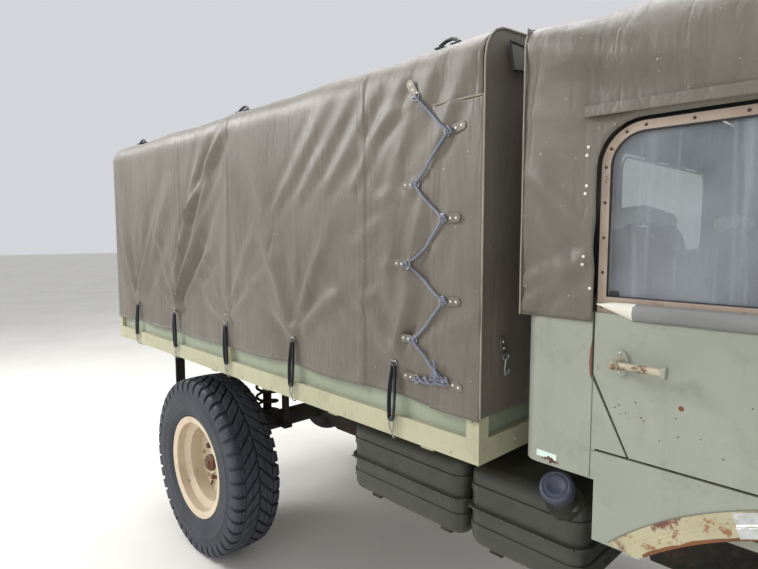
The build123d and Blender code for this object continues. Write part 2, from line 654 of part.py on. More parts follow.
def make_seats():
    x0 = CAB_REAR_X + WALL_T
    for side, sign in (("left", 1), ("right", -1)):
        y = sorted((sign * (CAB_HALF_W - 735), sign * (CAB_HALF_W - 255)))
        cushion = block((x0 + 70, x0 + 540), y, (SEAT_BASE_Z, SEAT_BASE_Z + 110))
        cushion = fillet(cushion.edges(), 30)
        lean = 55
        back = side_plate([
            (x0 + 66, SEAT_BASE_Z + 60), (x0 + 154, SEAT_BASE_Z + 60),
            (x0 + 150 - lean, SEAT_BASE_Z + 520), (x0 + 62 - lean, SEAT_BASE_Z + 520)], y[0], y[1])
        back = fillet(back.edges().filter_by(Axis.Y), 25)
        nodes[f"seat_{side}"] = cushion + back


def make_cab_back():
    """Rear wall and the two quarter panels, one pressing with rounded corners."""
    w = CAB_HALF_W
    x0 = CAB_REAR_X
    edge = DOOR_REAR_X - GAP
    seam_x = CAB_REAR_X + SIDE_SEAM
    foot = DOOR_REAR_X + DOOR_CUT_X - GAP
    plan = block((x0, foot), (-w, w), (QUARTER_BOTTOM_Z, WAIST_Z))
    plan = fillet(plan.edges().filter_by(Axis.Z).group_by(Axis.X)[0], 50)
    hollow = block((x0 + WALL_T, foot + 1), (WALL_T - w, w - WALL_T), (QUARTER_BOTTOM_Z - 1, WAIST_Z + 1))
    outline = side_plate([
        (x0, QUARTER_BOTTOM_Z), (seam_x, QUARTER_BOTTOM_Z), (seam_x, DOOR_BOTTOM_Z), (foot, DOOR_BOTTOM_Z),
        (edge, DOOR_CUT_Z - 4), (edge, WAIST_Z), (x0, WAIST_Z)], -w, w)
    nodes["cab_back"] = (plan - hollow) & outline


def wing_outline():
    x0 = CAB_REAR_X + SIDE_SEAM
    cut = DOOR_REAR_X + DOOR_CUT_X
    top = DOOR_BOTTOM_Z - GAP
    return [
        (x0, SILL_BOTTOM_Z), (x0, top), (cut, top), (DOOR_FRONT_X + GAP, top),
        (DOOR_FRONT_X + GAP, WAIST_Z), (SCUTTLE_X, WAIST_Z), (SCUTTLE_X, WING_TOP_Z),
        (NOSE_X - 160, WING_NOSE_Z + 22), (NOSE_X - 40, WING_NOSE_Z), (NOSE_X, WING_NOSE_Z - 60),
        (NOSE_X, NOSE_BOTTOM_Z), (NOSE_X - 60, CHIN_Z), (SILL_REAR_X, CHIN_Z), (SILL_REAR_X, SILL_BOTTOM_Z)]


def make_wings():
    """Side panel under the door, door pillar and front wing round the wheel arch."""
    w = CAB_HALF_W
    outline = wing_outline()
    skin = side_plate(outline, w - WALL_T, w)
    lip = side_plate(outline, w - 1, w + ARCH_LIP_T)
    front = side_plate([
        (SCUTTLE_X, WING_TOP_Z), (NOSE_X - 160, WING_NOSE_Z + 22), (NOSE_X - 40, WING_NOSE_Z),
        (NOSE_X, WING_NOSE_Z - 60), (NOSE_X, NOSE_BOTTOM_Z), (NOSE_X - 60, CHIN_Z), (SILL_REAR_X, CHIN_Z),
        (SCUTTLE_X, CHIN_Z)], WING_INNER_Y, w - WALL_T)
    arch = Pos(FRONT_AXLE_X, w / 2, AXLE_Z) * Rot(90, 0, 0) * Cylinder(ARCH_R, w + 200)
    lip_edge = Pos(FRONT_AXLE_X, w, AXLE_Z) * Rot(90, 0, 0) * Cylinder(ARCH_R + ARCH_LIP_W, 100)
    wing = skin + front
    outer = wing.faces().sort_by(Axis.Y)[-1].edges()
    top_edges = [edge for edge in outer
                 if edge.center().X > SCUTTLE_X + 1 and edge.center().Z > WING_NOSE_Z - 70]
    wing = fillet(top_edges, WING_EDGE_R)
    wing = wing - arch + ((lip & lip_edge) - arch)
    lamp = rod((NOSE_X - 50, LAMP_Y, LAMP_Z), (NOSE_X + 1, LAMP_Y, LAMP_Z), LAMP_R)
    wing = wing - lamp
    nodes["wing_left"] = wing
    nodes["wing_right"] = mirror(wing, about=Plane.XZ)


def make_headlamps():
    parts = []
    dome = Pos(NOSE_X - 50, LAMP_Y, LAMP_Z) * Rot(0, 90, 0) * Cylinder(
        LAMP_R - 1, 64, align=(Align.CENTER, Align.CENTER, Align.MIN))
    dome = round_end(dome, (1, 0, 0), 22)
    flasher = Pos(NOSE_X - 130, LAMP_Y, WING_NOSE_Z + 16) * Cylinder(
        FLASHER_R, 62, align=(Align.CENTER, Align.CENTER, Align.MIN))
    flasher = round_end(flasher, (0, 0, 1), 14)
    flasher = flasher - side_plate([
        (SCUTTLE_X, LAMP_Z), (SCUTTLE_X, WING_TOP_Z), (NOSE_X - 160, WING_NOSE_Z + 22),
        (NOSE_X - 40, WING_NOSE_Z), (NOSE_X - 40, LAMP_Z)], WING_INNER_Y, CAB_HALF_W)
    for shape in (dome, flasher):
        parts += both_sides(shape)
    nodes["headlamps"] = solids(*parts)


def make_front_panel():
    """Fascia between the wings, narrower where the bonnet closes over it."""
    x = (NOSE_X - 36, NOSE_X)
    under = BONNET_T + GAP
    lower = block(x, (-WING_INNER_Y, WING_INNER_Y), (NOSE_BOTTOM_Z, WING_NOSE_Z - 60))
    upper = cross_plate([
        (-WING_INNER_Y + under, WING_NOSE_Z - 80), (-WING_INNER_Y + under, BONNET_FRONT_Z - under),
        (WING_INNER_Y - under, BONNET_FRONT_Z - under), (WING_INNER_Y - under, WING_NOSE_Z - 80)], *x)
    upper = fillet(upper.edges().filter_by(Axis.X).group_by(Axis.Z)[-1], BONNET_CORNER_R - under)
    nodes["front_panel"] = lower + upper - grille_opening(x)


def grille_opening(x):
    z0, z1 = GRILLE_Z
    outline = RectangleRounded(2 * GRILLE_HALF_W, z1 - z0, 70)
    plane = Plane(origin=(x[0], 0, (z0 + z1) / 2), x_dir=(0, 1, 0), z_dir=(1, 0, 0))
    return extrude(plane * outline, amount=x[1] - x[0])


def make_grille():
    """Lattice of bars that ends in the opening of the front panel."""
    x = NOSE_X - 22
    z0, z1 = GRILLE_Z
    bars = []
    for i in range(GRILLE_COLUMNS):
        y = -GRILLE_HALF_W + 2 * GRILLE_HALF_W * (i + 0.5) / GRILLE_COLUMNS
        bars.append(block((x - 5, x + 5), (y - 5, y + 5), (z0, z1)))
    for i in range(GRILLE_ROWS):
        z = z0 + (z1 - z0) * (i + 0.5) / GRILLE_ROWS
        bars.append(block((x - 8, x - 5), (-GRILLE_HALF_W, GRILLE_HALF_W), (z - 4, z + 4)))
    nodes["grille"] = fuse(bars) & grille_opening((x - 8, x + 5))


def bonnet_section(x, half, z_low, z_top, corner):
    sketch = Pos(0, (z_top + z_low) / 2) * Rectangle(2 * half, z_top - z_low)
    tops = sketch.vertices().group_by(Axis.Y)[-1]
    sketch = fillet(tops, corner)
    return Plane(origin=(x, 0, 0), x_dir=(0, 1, 0), z_dir=(1, 0, 0)) * sketch


def make_bonnet():
    x0 = SCUTTLE_X + GAP
    x1 = NOSE_X
    t = BONNET_T
    half0, half1 = WING_INNER_Y + 40, WING_INNER_Y
    low0, low1 = WING_TOP_Z + GAP, BONNET_FRONT_Z - 150

    def body(wall, drop, over):
        """The outer form, or the room under it when wall is the sheet's thickness."""
        corner = BONNET_CORNER_R - wall
        return loft([
            bonnet_section(x0 - over, half0 - wall, low0 - drop, WAIST_Z - wall, corner),
            bonnet_section(x1 + over, half1 - wall, low1 - drop, BONNET_FRONT_Z - wall, corner)])
    shell = body(0, 0, 0) - body(t, 60, 1)
    clear = side_plate([
        (x0 - 5, WING_TOP_Z + GAP), (NOSE_X - 160, WING_NOSE_Z + 22 + GAP),
        (NOSE_X + 10, WING_NOSE_Z + GAP), (NOSE_X + 10, LAMP_Z), (x0 - 5, LAMP_Z)], -CAB_HALF_W, CAB_HALF_W)
    parts = [shell - clear]
    x, z = BONNET_HINGE
    for y in (-BONNET_HINGE_Y, BONNET_HINGE_Y):
        leaf = block((x, x + 70), (y - HINGE_HALF_W, y + HINGE_HALF_W), (WAIST_Z + 1, WAIST_Z + 6))
        foot = block((x0 + 10, x + 70), (y - HINGE_HALF_W, y + HINGE_HALF_W), (WAIST_Z - 12, WAIST_Z + 6))
        parts += [leaf - hinge_pin(x, z, y, HINGE_PIN_R + PIN_CLEAR), foot, hinge_barrel(x, z, y)]
    nodes["bonnet"] = fuse(parts)


def make_scuttle():
    """Firewall, cowl deck and dashboard across the cab."""
    inner = CAB_HALF_W - WALL_T
    x1 = SCUTTLE_X
    x_dash = x1 - 200
    outline = [
        (x1, WAIST_Z - 12), (x1 - 12, WAIST_Z), (x_dash + 20, WAIST_Z), (x_dash, WAIST_Z - 20),
        (x_dash - 12, WAIST_Z - 190), (x_dash + 8, WAIST_Z - 190), (x_dash + 20, WAIST_Z - 24),
        (x1 - FIREWALL_T, WAIST_Z - 24), (x1 - FIREWALL_T, FLOOR_TOP_Z - FLOOR_T),
        (x1, FLOOR_TOP_Z - FLOOR_T)]
    beam = side_plate(outline, -inner, inner)
    tunnel = block((x1 - FIREWALL_T - 1, x1 + 1), (20 - ENGINE_COVER_HALF_W, ENGINE_COVER_HALF_W - 20),
                   (FLOOR_TOP_Z - FLOOR_T - 1, ENGINE_COVER_TOP - 20))
    sides = block((x_dash - 15, DOOR_FRONT_X + GAP), (inner - GAP, inner + 1), (WAIST_Z - 200, WAIST_Z + 1))
    beam = beam - tunnel - sides - mirror(sides, about=Plane.XZ) - column_bar(COLUMN_R + PIN_CLEAR)
    x, z = BONNET_HINGE
    parts = [beam]
    for y in (-BONNET_HINGE_Y, BONNET_HINGE_Y):
        parts += hinge_ears(x, z, y, (x - 40, x), (WAIST_Z - 10, z + HINGE_BARREL_R))
        parts.append(hinge_pin(x, z, y, HINGE_PIN_R))
    bonnet_room = block((x1, x + HINGE_BARREL_R + 1), (-inner, inner), (WAIST_Z - 11, WAIST_Z))
    nodes["scuttle"] = fuse(parts) - bonnet_room


def screen_frame(x_shift, z_low, z_high, y_low, y_high, thickness):
    """A slab that leans with the windscreen."""
    slope = SCREEN_LEAN / (SCREEN_TOP_Z - WAIST_Z)
    low = SCREEN_BASE_X + x_shift - slope * (z_low - WAIST_Z)
    high = SCREEN_BASE_X + x_shift - slope * (z_high - WAIST_Z)
    return side_plate([(low, z_low), (low + thickness, z_low), (high + thickness, z_high), (high, z_high)],
                      y_low, y_high)


def make_windscreen():
    frame = screen_frame(0, WAIST_Z, SCREEN_TOP_Z, -SCREEN_HALF_W, SCREEN_HALF_W, SCREEN_T)
    tops = frame.edges().group_by(SortBy.LENGTH)[0].group_by(Axis.Z)[-1]
    frame = fillet(tops, SCREEN_CORNER_R)
    z = (WAIST_Z + 60, SCREEN_TOP_Z - 112)
    y = (28, SCREEN_HALF_W - 55)
    panes = []
    for side in (1, -1):
        ys = sorted((side * y[0], side * y[1]))
        frame = frame - screen_frame(-5, z[0], z[1], ys[0], ys[1], SCREEN_T + 10)
        panes.append(screen_frame(SCREEN_T / 2 - 3, z[0], z[1], ys[0], ys[1], 6))
    nodes["windscreen_frame"] = frame
    nodes["windscreen_glass"] = solids(*panes)


def make_doors():
    w = CAB_HALF_W
    cut = DOOR_REAR_X + DOOR_CUT_X
    panel = side_plate([
        (DOOR_REAR_X, WAIST_Z), (DOOR_REAR_X, DOOR_CUT_Z), (cut, DOOR_BOTTOM_Z),
        (DOOR_FRONT_X, DOOR_BOTTOM_Z), (DOOR_FRONT_X, WAIST_Z)], w - WALL_T, w)
    lever_x = DOOR_REAR_X + 63
    face = Plane(origin=(lever_x, w, LEVER_Z), x_dir=(1, 0, 0), z_dir=(0, 1, 0))
    plate = extrude(face * Ellipse(20, 31), amount=6)
    stem = rod((lever_x, w, LEVER_Z), (lever_x, w + LEVER_REACH + LEVER_R + 3, LEVER_Z), LEVER_R + 3)
    tip_x = lever_x + LEVER_LENGTH
    bar_y = w + LEVER_REACH
    bar = rod((lever_x, bar_y, LEVER_Z), (tip_x, bar_y, LEVER_Z), LEVER_R)
    tip = block((tip_x - 3, tip_x + 5), (bar_y - 12, bar_y + 9), (LEVER_Z - 13, LEVER_Z + 13))
    tip = fillet(tip.edges().filter_by(Axis.X), 6)
    lever = bar + tip
    hinges = [rod((DOOR_FRONT_X + 2, w + 9, z), (DOOR_FRONT_X + 2, w + 9, z + 70), 9) for z in (1320, 1500)]
    leaves = [block((DOOR_FRONT_X - 60, DOOR_FRONT_X), (w, w + 6), (z, z + 70)) for z in (1320, 1500)]
    door = fuse([panel, plate, stem, lever] + hinges + leaves)
    x0, x1 = DOOR_REAR_X, DOOR_FRONT_X - 4
    y0, y1 = w - 30, w - 30 + WINDOW_T
    b = WINDOW_BAR
    slope = WINDOW_LEAN / (WINDOW_TOP_Z - WAIST_Z)
    sill = WINDOW_BOTTOM_Z + 16
    outer = [(x0, WAIST_Z), (x0, WINDOW_TOP_Z), (x1 - WINDOW_LEAN, WINDOW_TOP_Z), (x1, WAIST_Z)]
    inner = [(x0 + b, sill), (x0 + b, WINDOW_TOP_Z - b), (x1 - WINDOW_LEAN - b, WINDOW_TOP_Z - b),
             (x1 - b - slope * (sill - WAIST_Z), sill)]

    def rounded(outline, y_low, y_high, radius):
        """An outline with round top corners, the rear one larger."""
        plate = side_plate(outline, y_low, y_high)
        corners = plate.edges().filter_by(Axis.Y).group_by(Axis.Z)[-1].sort_by(Axis.X)
        plate = fillet(corners[0], radius)
        corners = plate.edges().filter_by(Axis.Y).group_by(Axis.Z)[-1].sort_by(Axis.X)
        return fillet(corners[-1], radius / 3)
    opening = rounded(inner, y0 - 1, y1 + 1, WINDOW_CORNER_R - b)
    frame = rounded(outer, y0, y1, WINDOW_CORNER_R) - opening
    middle = (y0 + y1) / 2
    glass = opening & block((x0, x1), (middle - GLASS_T / 2, middle + GLASS_T / 2), (WAIST_Z, WINDOW_TOP_Z))
    for name, shape in (("door", door), ("window_frame", frame), ("window_glass", glass)):
        nodes[f"{name}_left"] = shape
        nodes[f"{name}_right"] = mirror(shape, about=Plane.XZ)


def make_mirrors():
    x = DOOR_FRONT_X + 40
    y = CAB_HALF_W
    foot = block((x - 15, x + 15), (y, y + 8), (1500, 1580))
    arm = rod((x, y + 6, 1540), (x + 40, y + 120, 1640), 8)
    post = rod((x + 40, y + 120, 1635), (x + 40, y + 120, 1850), 8)
    head = block((x + 22, x + 44), (y + 70, y + 185), (1690, 1860))
    head = fillet(head.edges().filter_by(Axis.X), 25)
    nodes["mirrors"] = solids(*both_sides(fuse([foot, arm, post, head])))


def column_bar(radius):
    """Straight bar on the steering column's line, from the hub to past the firewall."""
    top = Vector(WHEEL_X, WHEEL_Y, WHEEL_Z)
    down = COLUMN_DIR.normalized()
    bar = rod(tuple(top + down * (HUB_REACH + 0.3)), tuple(top + down * 560), radius)
    return bar & block((0, SCUTTLE_X - FIREWALL_T), (0, 1000), (FLOOR_TOP_Z, 2000))


def make_steering():
    top = Vector(WHEEL_X, WHEEL_Y, WHEEL_Z)
    down = COLUMN_DIR.normalized()
    plane = Plane(origin=top, z_dir=down)
    ring = plane * Torus(STEER_R, 12)
    hub = extrude(plane.offset(-18) * Circle(34), amount=HUB_REACH + 18)
    parts = [ring, hub]
    for angle in (90, 210, 330):
        direction = plane.x_dir.rotate(Axis((0, 0, 0), down), angle)
        parts.append(rod(tuple(top), tuple(top + direction * STEER_R), 8))
    nodes["steering_wheel"] = fuse(parts)
    nodes["steering_column"] = column_bar(COLUMN_R)


def make_cab_cover():
    """Soft top over the cab: roof, back and quarters, open at the doors and in front."""
    x0 = CAB_REAR_X - COVER_T - CLOTH_CLEAR
    x1 = SCREEN_BASE_X - SCREEN_LEAN + SCREEN_T
    w = CAB_HALF_W + COVER_T + CLOTH_CLEAR
    bottom = WAIST_Z - 25
    front_top = SCREEN_TOP_Z + COVER_T + CLOTH_CLEAR

    def body(t, front_x):
        """The outer form, or the room inside it when t is the cloth's thickness."""
        return loft([
            bonnet_section(x0 + t, w - t, bottom - t, ROOF_Z - t, 62 - t),
            bonnet_section(x0 + 520, w - t, bottom - t, ROOF_Z + 5 - t, 132 - t),
            bonnet_section(front_x, w - t - 20, bottom - t, front_top - t, 112 - t)], ruled=True)
    shell = body(0, x1) - body(COVER_T, x1 + 1)
    doorway = block((DOOR_REAR_X - GAP, x1 + 50), (-w - 10, w + 10), (bottom - 10, WINDOW_TOP_Z + 10))
    corner = doorway.edges().filter_by(Axis.Y).group_by(Axis.Z)[-1].sort_by(Axis.X)[0]
    doorway = fillet(corner, WINDOW_CORNER_R)
    window = block((x0 - 10, x0 + 30), (-420, 420), (1720, 2040))
    nodes["cab_cover"] = shell - doorway - window


def make_bed_frame():
    """Welded outer rail with posts, cross bearers and the runners on the chassis."""
    w = BED_HALF_W
    z = (BED_RAIL_Z, BED_RAIL_Z + BED_RAIL_H)
    ring = block((BED_REAR_X, BED_FRONT_X), (-w, w), z)
    ring = ring - block((BED_REAR_X + BED_RAIL_W, BED_FRONT_X - BED_RAIL_W),
                        (BED_RAIL_W - w, w - BED_RAIL_W), (z[0] - 1, z[1] + 1))
    parts = [ring]
    inner = w - BED_RAIL_W
    bearer_top = BED_FLOOR_Z - FLOOR_BOARD_T
    for i in range(6):
        x = BED_REAR_X + BEARER_SETBACK + (BED_LENGTH - 2 * BEARER_SETBACK) * i / 5
        parts.append(block((x - 25, x + 25), (-inner, inner), (bearer_top - BEARER_H, bearer_top)))
    parts += both_sides(block(
        (BED_REAR_X + BED_RAIL_W - 1, BED_FRONT_X - BED_RAIL_W + 1), (inner - BOW_LEDGE_W, inner + 1),
        (bearer_top, BED_FLOOR_Z)))
    runner_z = (RAIL_TOP_Z, bearer_top - BEARER_H)
    for side in (1, -1):
        y = (side * MEMBER_Y - MEMBER_HALF_W, side * MEMBER_Y + MEMBER_HALF_W)
        parts.append(block((BED_REAR_X + 60, BED_FRONT_X - 30), y, runner_z))
    post_x = (BED_FRONT_X - POST_W, (BED_FRONT_X + BED_REAR_X) / 2 - POST_W / 2, BED_REAR_X)
    for x in post_x:
        for side in (1, -1):
            y = sorted((side * (w - BED_RAIL_W), side * w))
            parts.append(block((x, x + POST_W), y, (z[1], BED_TOP_Z)))
    x, z = GATE_HINGE
    for y in GATE_HINGE_Y:
        low = BED_RAIL_Z + BED_RAIL_H - 40
        parts += hinge_ears(x, z, y, (x - HINGE_BARREL_R, BED_REAR_X + 1), (low, BED_RAIL_Z + BED_RAIL_H))
        parts.append(hinge_pin(x, z, y, HINGE_PIN_R))
    nodes["bed_frame"] = fuse(parts)


def make_bed():
    inner = BED_HALF_W - BED_RAIL_W
    nodes["bed_floor"] = block(
        (BED_REAR_X + BED_RAIL_W, BED_FRONT_X - BED_RAIL_W), (BOW_LEDGE_W - inner, inner - BOW_LEDGE_W),
        (BED_FLOOR_Z - FLOOR_BOARD_T, BED_FLOOR_Z))
    z = (BED_RAIL_Z + BED_RAIL_H, BED_TOP_Z)
    y = (BED_HALF_W - BOARD_INSET - BOARD_T, BED_HALF_W - BOARD_INSET)
    middle = (BED_FRONT_X + BED_REAR_X) / 2
    boards = []
    for x in ((BED_REAR_X + POST_W, middle - POST_W / 2), (middle + POST_W / 2, BED_FRONT_X - POST_W)):
        boards += both_sides(block(x, y, z))
    nodes["side_boards"] = solids(*boards)
    nodes["front_board"] = block(
        (BED_FRONT_X - BOARD_INSET - BOARD_T, BED_FRONT_X - BOARD_INSET), (-inner, inner), z)


def make_tailgate():
    """Drop gate between the rear posts, hinged along its lower rear edge."""
    half = BED_HALF_W - BED_RAIL_W - GAP
    z0 = BED_RAIL_Z + BED_RAIL_H + GAP
    panel = block((BED_REAR_X + 2, BED_REAR_X + TAILGATE_T), (-half, half), (z0, BED_TOP_Z))
    x, z = GATE_HINGE
    parts = [panel]
    for y in GATE_HINGE_Y:
        leaf = block((x - 4, BED_REAR_X + 3), (y - HINGE_HALF_W, y + HINGE_HALF_W), (z + 7, z + 70))
        parts += [leaf, hinge_barrel(x, z, y)]
    nodes["tailgate"] = fuse(parts)


def hoop(x, half, z_low, z_high, corner, crown):
    """Centre line of a bow: up one side, over the crowned roof and down."""
    line = FilletPolyline(
        (x, -half, z_low), (x, -half, z_high), (x, 0, z_high + crown), (x, half, z_high), (x, half, z_low),
        radius=[corner, 4 * corner, corner])
    return line


def make_bows():
    half = BED_HALF_W - BED_RAIL_W - BOW_R - 2
    top = TARP_EAVE_Z - TARP_T - BOW_R - 3
    parts = []
    first = BED_REAR_X + TAILGATE_T + BOW_R + 60
    last = BED_FRONT_X - BOARD_INSET - BOARD_T - BOW_R - 4
    for i in range(BOW_COUNT):
        x = first + (last - first) * i / (BOW_COUNT - 1)
        path = hoop(x, half, BED_FLOOR_Z, top, 80, TARP_CROWN - 6)
        parts.append(sweep(Plane(origin=path @ 0, z_dir=path % 0) * Circle(BOW_R), path=path))
    for y, z in ((-half, top - 110), (half, top - 110)):
        parts.append(rod((first, y, z), (last, y, z), 10))
    nodes["bows"] = fuse(parts)


def cover_profile(half, z_low, z_high, corner, crown):
    sketch = make_face(Polyline((-half, z_low), (-half, z_high), (0, z_high + crown), (half, z_high),
                                (half, z_low), close=True))
    top = sketch.vertices().sort_by(Axis.Y)[2:4]
    return fillet(top, corner)


def make_cargo_cover():
    """Tarpaulin over the bows: roof, sides and front wall outside the boards, curtain inside the gate."""
    w = BED_HALF_W + TARP_T + CLOTH_CLEAR
    x0 = BED_REAR_X - 6
    x1 = BED_FRONT_X + TARP_T + CLOTH_CLEAR

    def tunnel(start, end, inset, bottom):
        """The cover's outline between two X values, made smaller all round by the inset."""
        plane = Plane(origin=(start, 0, 0), x_dir=(0, 1, 0), z_dir=(1, 0, 0))
        outline = cover_profile(w - inset, bottom, TARP_EAVE_Z - inset, TARP_CORNER_R - inset, TARP_CROWN)
        return extrude(plane * outline, amount=end - start)
    shell = tunnel(x0, x1, 0, TARP_BOTTOM_Z) - tunnel(x0 - 1, x1 - TARP_T, TARP_T, TARP_BOTTOM_Z - 1)
    curtain_x = BED_REAR_X + TAILGATE_T + 8
    curtain = tunnel(curtain_x, curtain_x + TARP_T, TARP_T, BED_TOP_Z + 20)
    nodes["cargo_cover"] = shell + curtain


def make_rear_lamps():
    """Black straps under the bed that carry the tail lamps."""
    top = BED_FLOOR_Z - FLOOR_BOARD_T - BEARER_H
    strap = block((STAY_X, STAY_X + 8), STAY_Y, (STAY_BOTTOM_Z, top))
    lamp = block((STAY_X - 60, STAY_X), (STAY_Y[0] - 50, STAY_Y[1]), (STAY_BOTTOM_Z, STAY_BOTTOM_Z + 100))
    lamp = fillet(lamp.edges().filter_by(Axis.X), 12)
    nodes["rear_lamps"] = solids(*both_sides(strap + lamp))


make_wheels()
make_front_axle()
make_knuckles()
make_tie_rod()
make_rear_axle()
make_drive_line()
make_frame()
make_tanks()
make_battery_box()
make_engine()
make_exhaust()
make_suspension()
make_bumper()
make_cab_floor()
make_seats()
make_cab_back()
make_wings()
make_headlamps()
make_front_panel()
make_grille()
make_bonnet()
make_scuttle()
make_windscreen()
make_doors()
make_mirrors()
make_steering()
make_cab_cover()
make_bed_frame()
make_bed()
make_tailgate()
make_bows()
make_cargo_cover()
make_rear_lamps()

os.makedirs("parts", exist_ok=True)
for name, shape in nodes.items():
    export_step(shape, f"parts/{name}.step")
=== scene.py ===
"""Light four-wheel-drive cargo truck with a soft-top cab and a laced cargo cover.

Metres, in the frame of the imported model: X forward, Y to the truck's left, Z up.
"""
import json
import math

import bmesh
import bpy
import numpy as np
from mathutils import Matrix, Vector, noise


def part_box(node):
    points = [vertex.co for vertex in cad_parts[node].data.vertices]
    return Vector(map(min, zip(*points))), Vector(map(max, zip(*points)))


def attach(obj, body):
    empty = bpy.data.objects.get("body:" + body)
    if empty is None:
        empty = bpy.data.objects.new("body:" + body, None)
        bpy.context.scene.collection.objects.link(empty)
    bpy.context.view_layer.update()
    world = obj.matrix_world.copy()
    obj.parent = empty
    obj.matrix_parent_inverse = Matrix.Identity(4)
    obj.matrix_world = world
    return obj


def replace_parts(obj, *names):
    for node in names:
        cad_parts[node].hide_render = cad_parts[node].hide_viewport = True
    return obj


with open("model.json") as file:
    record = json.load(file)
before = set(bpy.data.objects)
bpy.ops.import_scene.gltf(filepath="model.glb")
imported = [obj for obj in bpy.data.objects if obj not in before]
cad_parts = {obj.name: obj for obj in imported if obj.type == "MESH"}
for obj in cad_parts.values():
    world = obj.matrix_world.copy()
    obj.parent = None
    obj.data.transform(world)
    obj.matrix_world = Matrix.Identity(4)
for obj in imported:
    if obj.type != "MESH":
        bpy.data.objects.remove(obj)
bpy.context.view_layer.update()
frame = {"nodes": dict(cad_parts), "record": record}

# Places read from the frame; the bed's floor ends a little inside the bed
COVER_LOW, COVER_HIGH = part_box("cargo_cover")
FLOOR_INSET = 0.045
BED_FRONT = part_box("bed_floor")[1].x + FLOOR_INSET
BED_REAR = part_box("bed_floor")[0].x - FLOOR_INSET
BED_LENGTH = BED_FRONT - BED_REAR
BED_HALF_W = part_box("bed_frame")[1].y
CAB_LOW, CAB_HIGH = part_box("cab_cover")
CAB_HALF_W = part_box("cab_back")[1].y
NOSE_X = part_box("front_panel")[1].x

ROOT = "truck"
SIDES = {-1: "right", 1: "left"}
CORNERS = [(end, hand, side) for end in ("front", "rear") for side, hand in SIDES.items()]

# Cargo cover: its cloth, its section over the bed, and the laps of its front wall
CLOTH_T = 0.002
COVER_HALF = COVER_HIGH.y
EAVE_R = 0.095
CROWN = 0.06
EAVE_Z = COVER_HIGH.z - CROWN
RIDGE_DROP = 0.004
HEM_LIFT = 0.002
LAP = 0.178
LAP_TOP_Z = 2.15

# Steps of the section's three parts, then the distances between the grid's rows and columns
WALL_STEPS, EAVE_STEPS, ROOF_STEPS = 40, 12, 40
GIRTH_STEP = 0.0185
COLUMN_STEP = 0.014

# How the cloth sags between the bows, and how deep its folds are on either side
BOWS = 5
BOW_REACH = 0.25
SAG = 0.013
FOLD_GAIN = 1.45
LEFT_FOLD_SHARE = 0.7

# Seams and straps along the side, and how far the straps pull the cloth in over the hem
SEAM_W = 0.03
SEAMS = tuple(BED_FRONT - d for d in (1.87, 1.37, 0.48))
STRAPS = tuple(BED_FRONT - d for d in (2.474, 1.941, 1.398, 0.884, 0.331))
STRAP_TOP_Z = 1.385
HOOK_Z = 1.148
PULL_W, PULL_DEPTH, PULL_TOP_Z = 0.10, 0.012, 1.52
HEM_REACH = 0.25

# Folds of the cover's side: (start ahead of the bed front, start z, end, end z, half width, depth)
FOLDS = (
    (-1.42, 2.24, -1.93, 1.40, 0.030, 0.016),
    (-1.38, 2.25, -1.80, 1.86, 0.022, 0.012),
    (-1.45, 2.04, -1.92, 1.42, 0.024, 0.012),
    (-1.49, 1.75, -1.90, 1.41, 0.030, 0.010),
    (-1.60, 2.20, -1.93, 1.60, 0.024, 0.008),
    (-1.95, 2.05, -2.46, 1.40, 0.050, 0.010),
    (-2.15, 1.95, -2.47, 1.42, 0.030, 0.006),
    (-2.70, 1.90, -2.49, 1.40, 0.035, 0.006),
    (-1.19, 2.03, -0.89, 1.40, 0.045, 0.009),
    (-1.10, 1.62, -0.90, 1.39, 0.028, 0.007),
    (-0.55, 1.60, -0.87, 1.40, 0.030, 0.009),
    (-0.70, 1.72, -0.88, 1.42, 0.026, 0.006),
    (-0.20, 1.93, -0.33, 1.42, 0.028, 0.010),
    (-0.21, 1.72, -0.32, 1.42, 0.020, 0.010),
    (-0.56, 1.66, -0.34, 1.40, 0.030, 0.006),
    (-1.62, 1.50, -1.41, 1.40, 0.022, 0.006),
    (-1.18, 1.52, -1.38, 1.40, 0.022, 0.006),
    (-2.00, 1.56, -1.94, 1.38, 0.018, 0.006),
)


def smooth_step(x):
    x = min(1.0, max(0.0, x))
    return x * x * (3 - 2 * x)


def drift(x, y, z):
    """Smooth noise from about -1 to 1 at a place."""
    return noise.noise(Vector((x, y, z)))


def around(count):
    """Angles at equal steps round a circle."""
    return [2 * math.pi * k / count for k in range(count)]


def colour(code):
    """Linear colour of an sRGB hex code."""
    parts = [int(code[i:i + 2], 16) / 255 for i in (1, 3, 5)]
    return (*[c / 12.92 if c <= 0.04045 else ((c + 0.055) / 1.055) ** 2.4 for c in parts], 1.0)


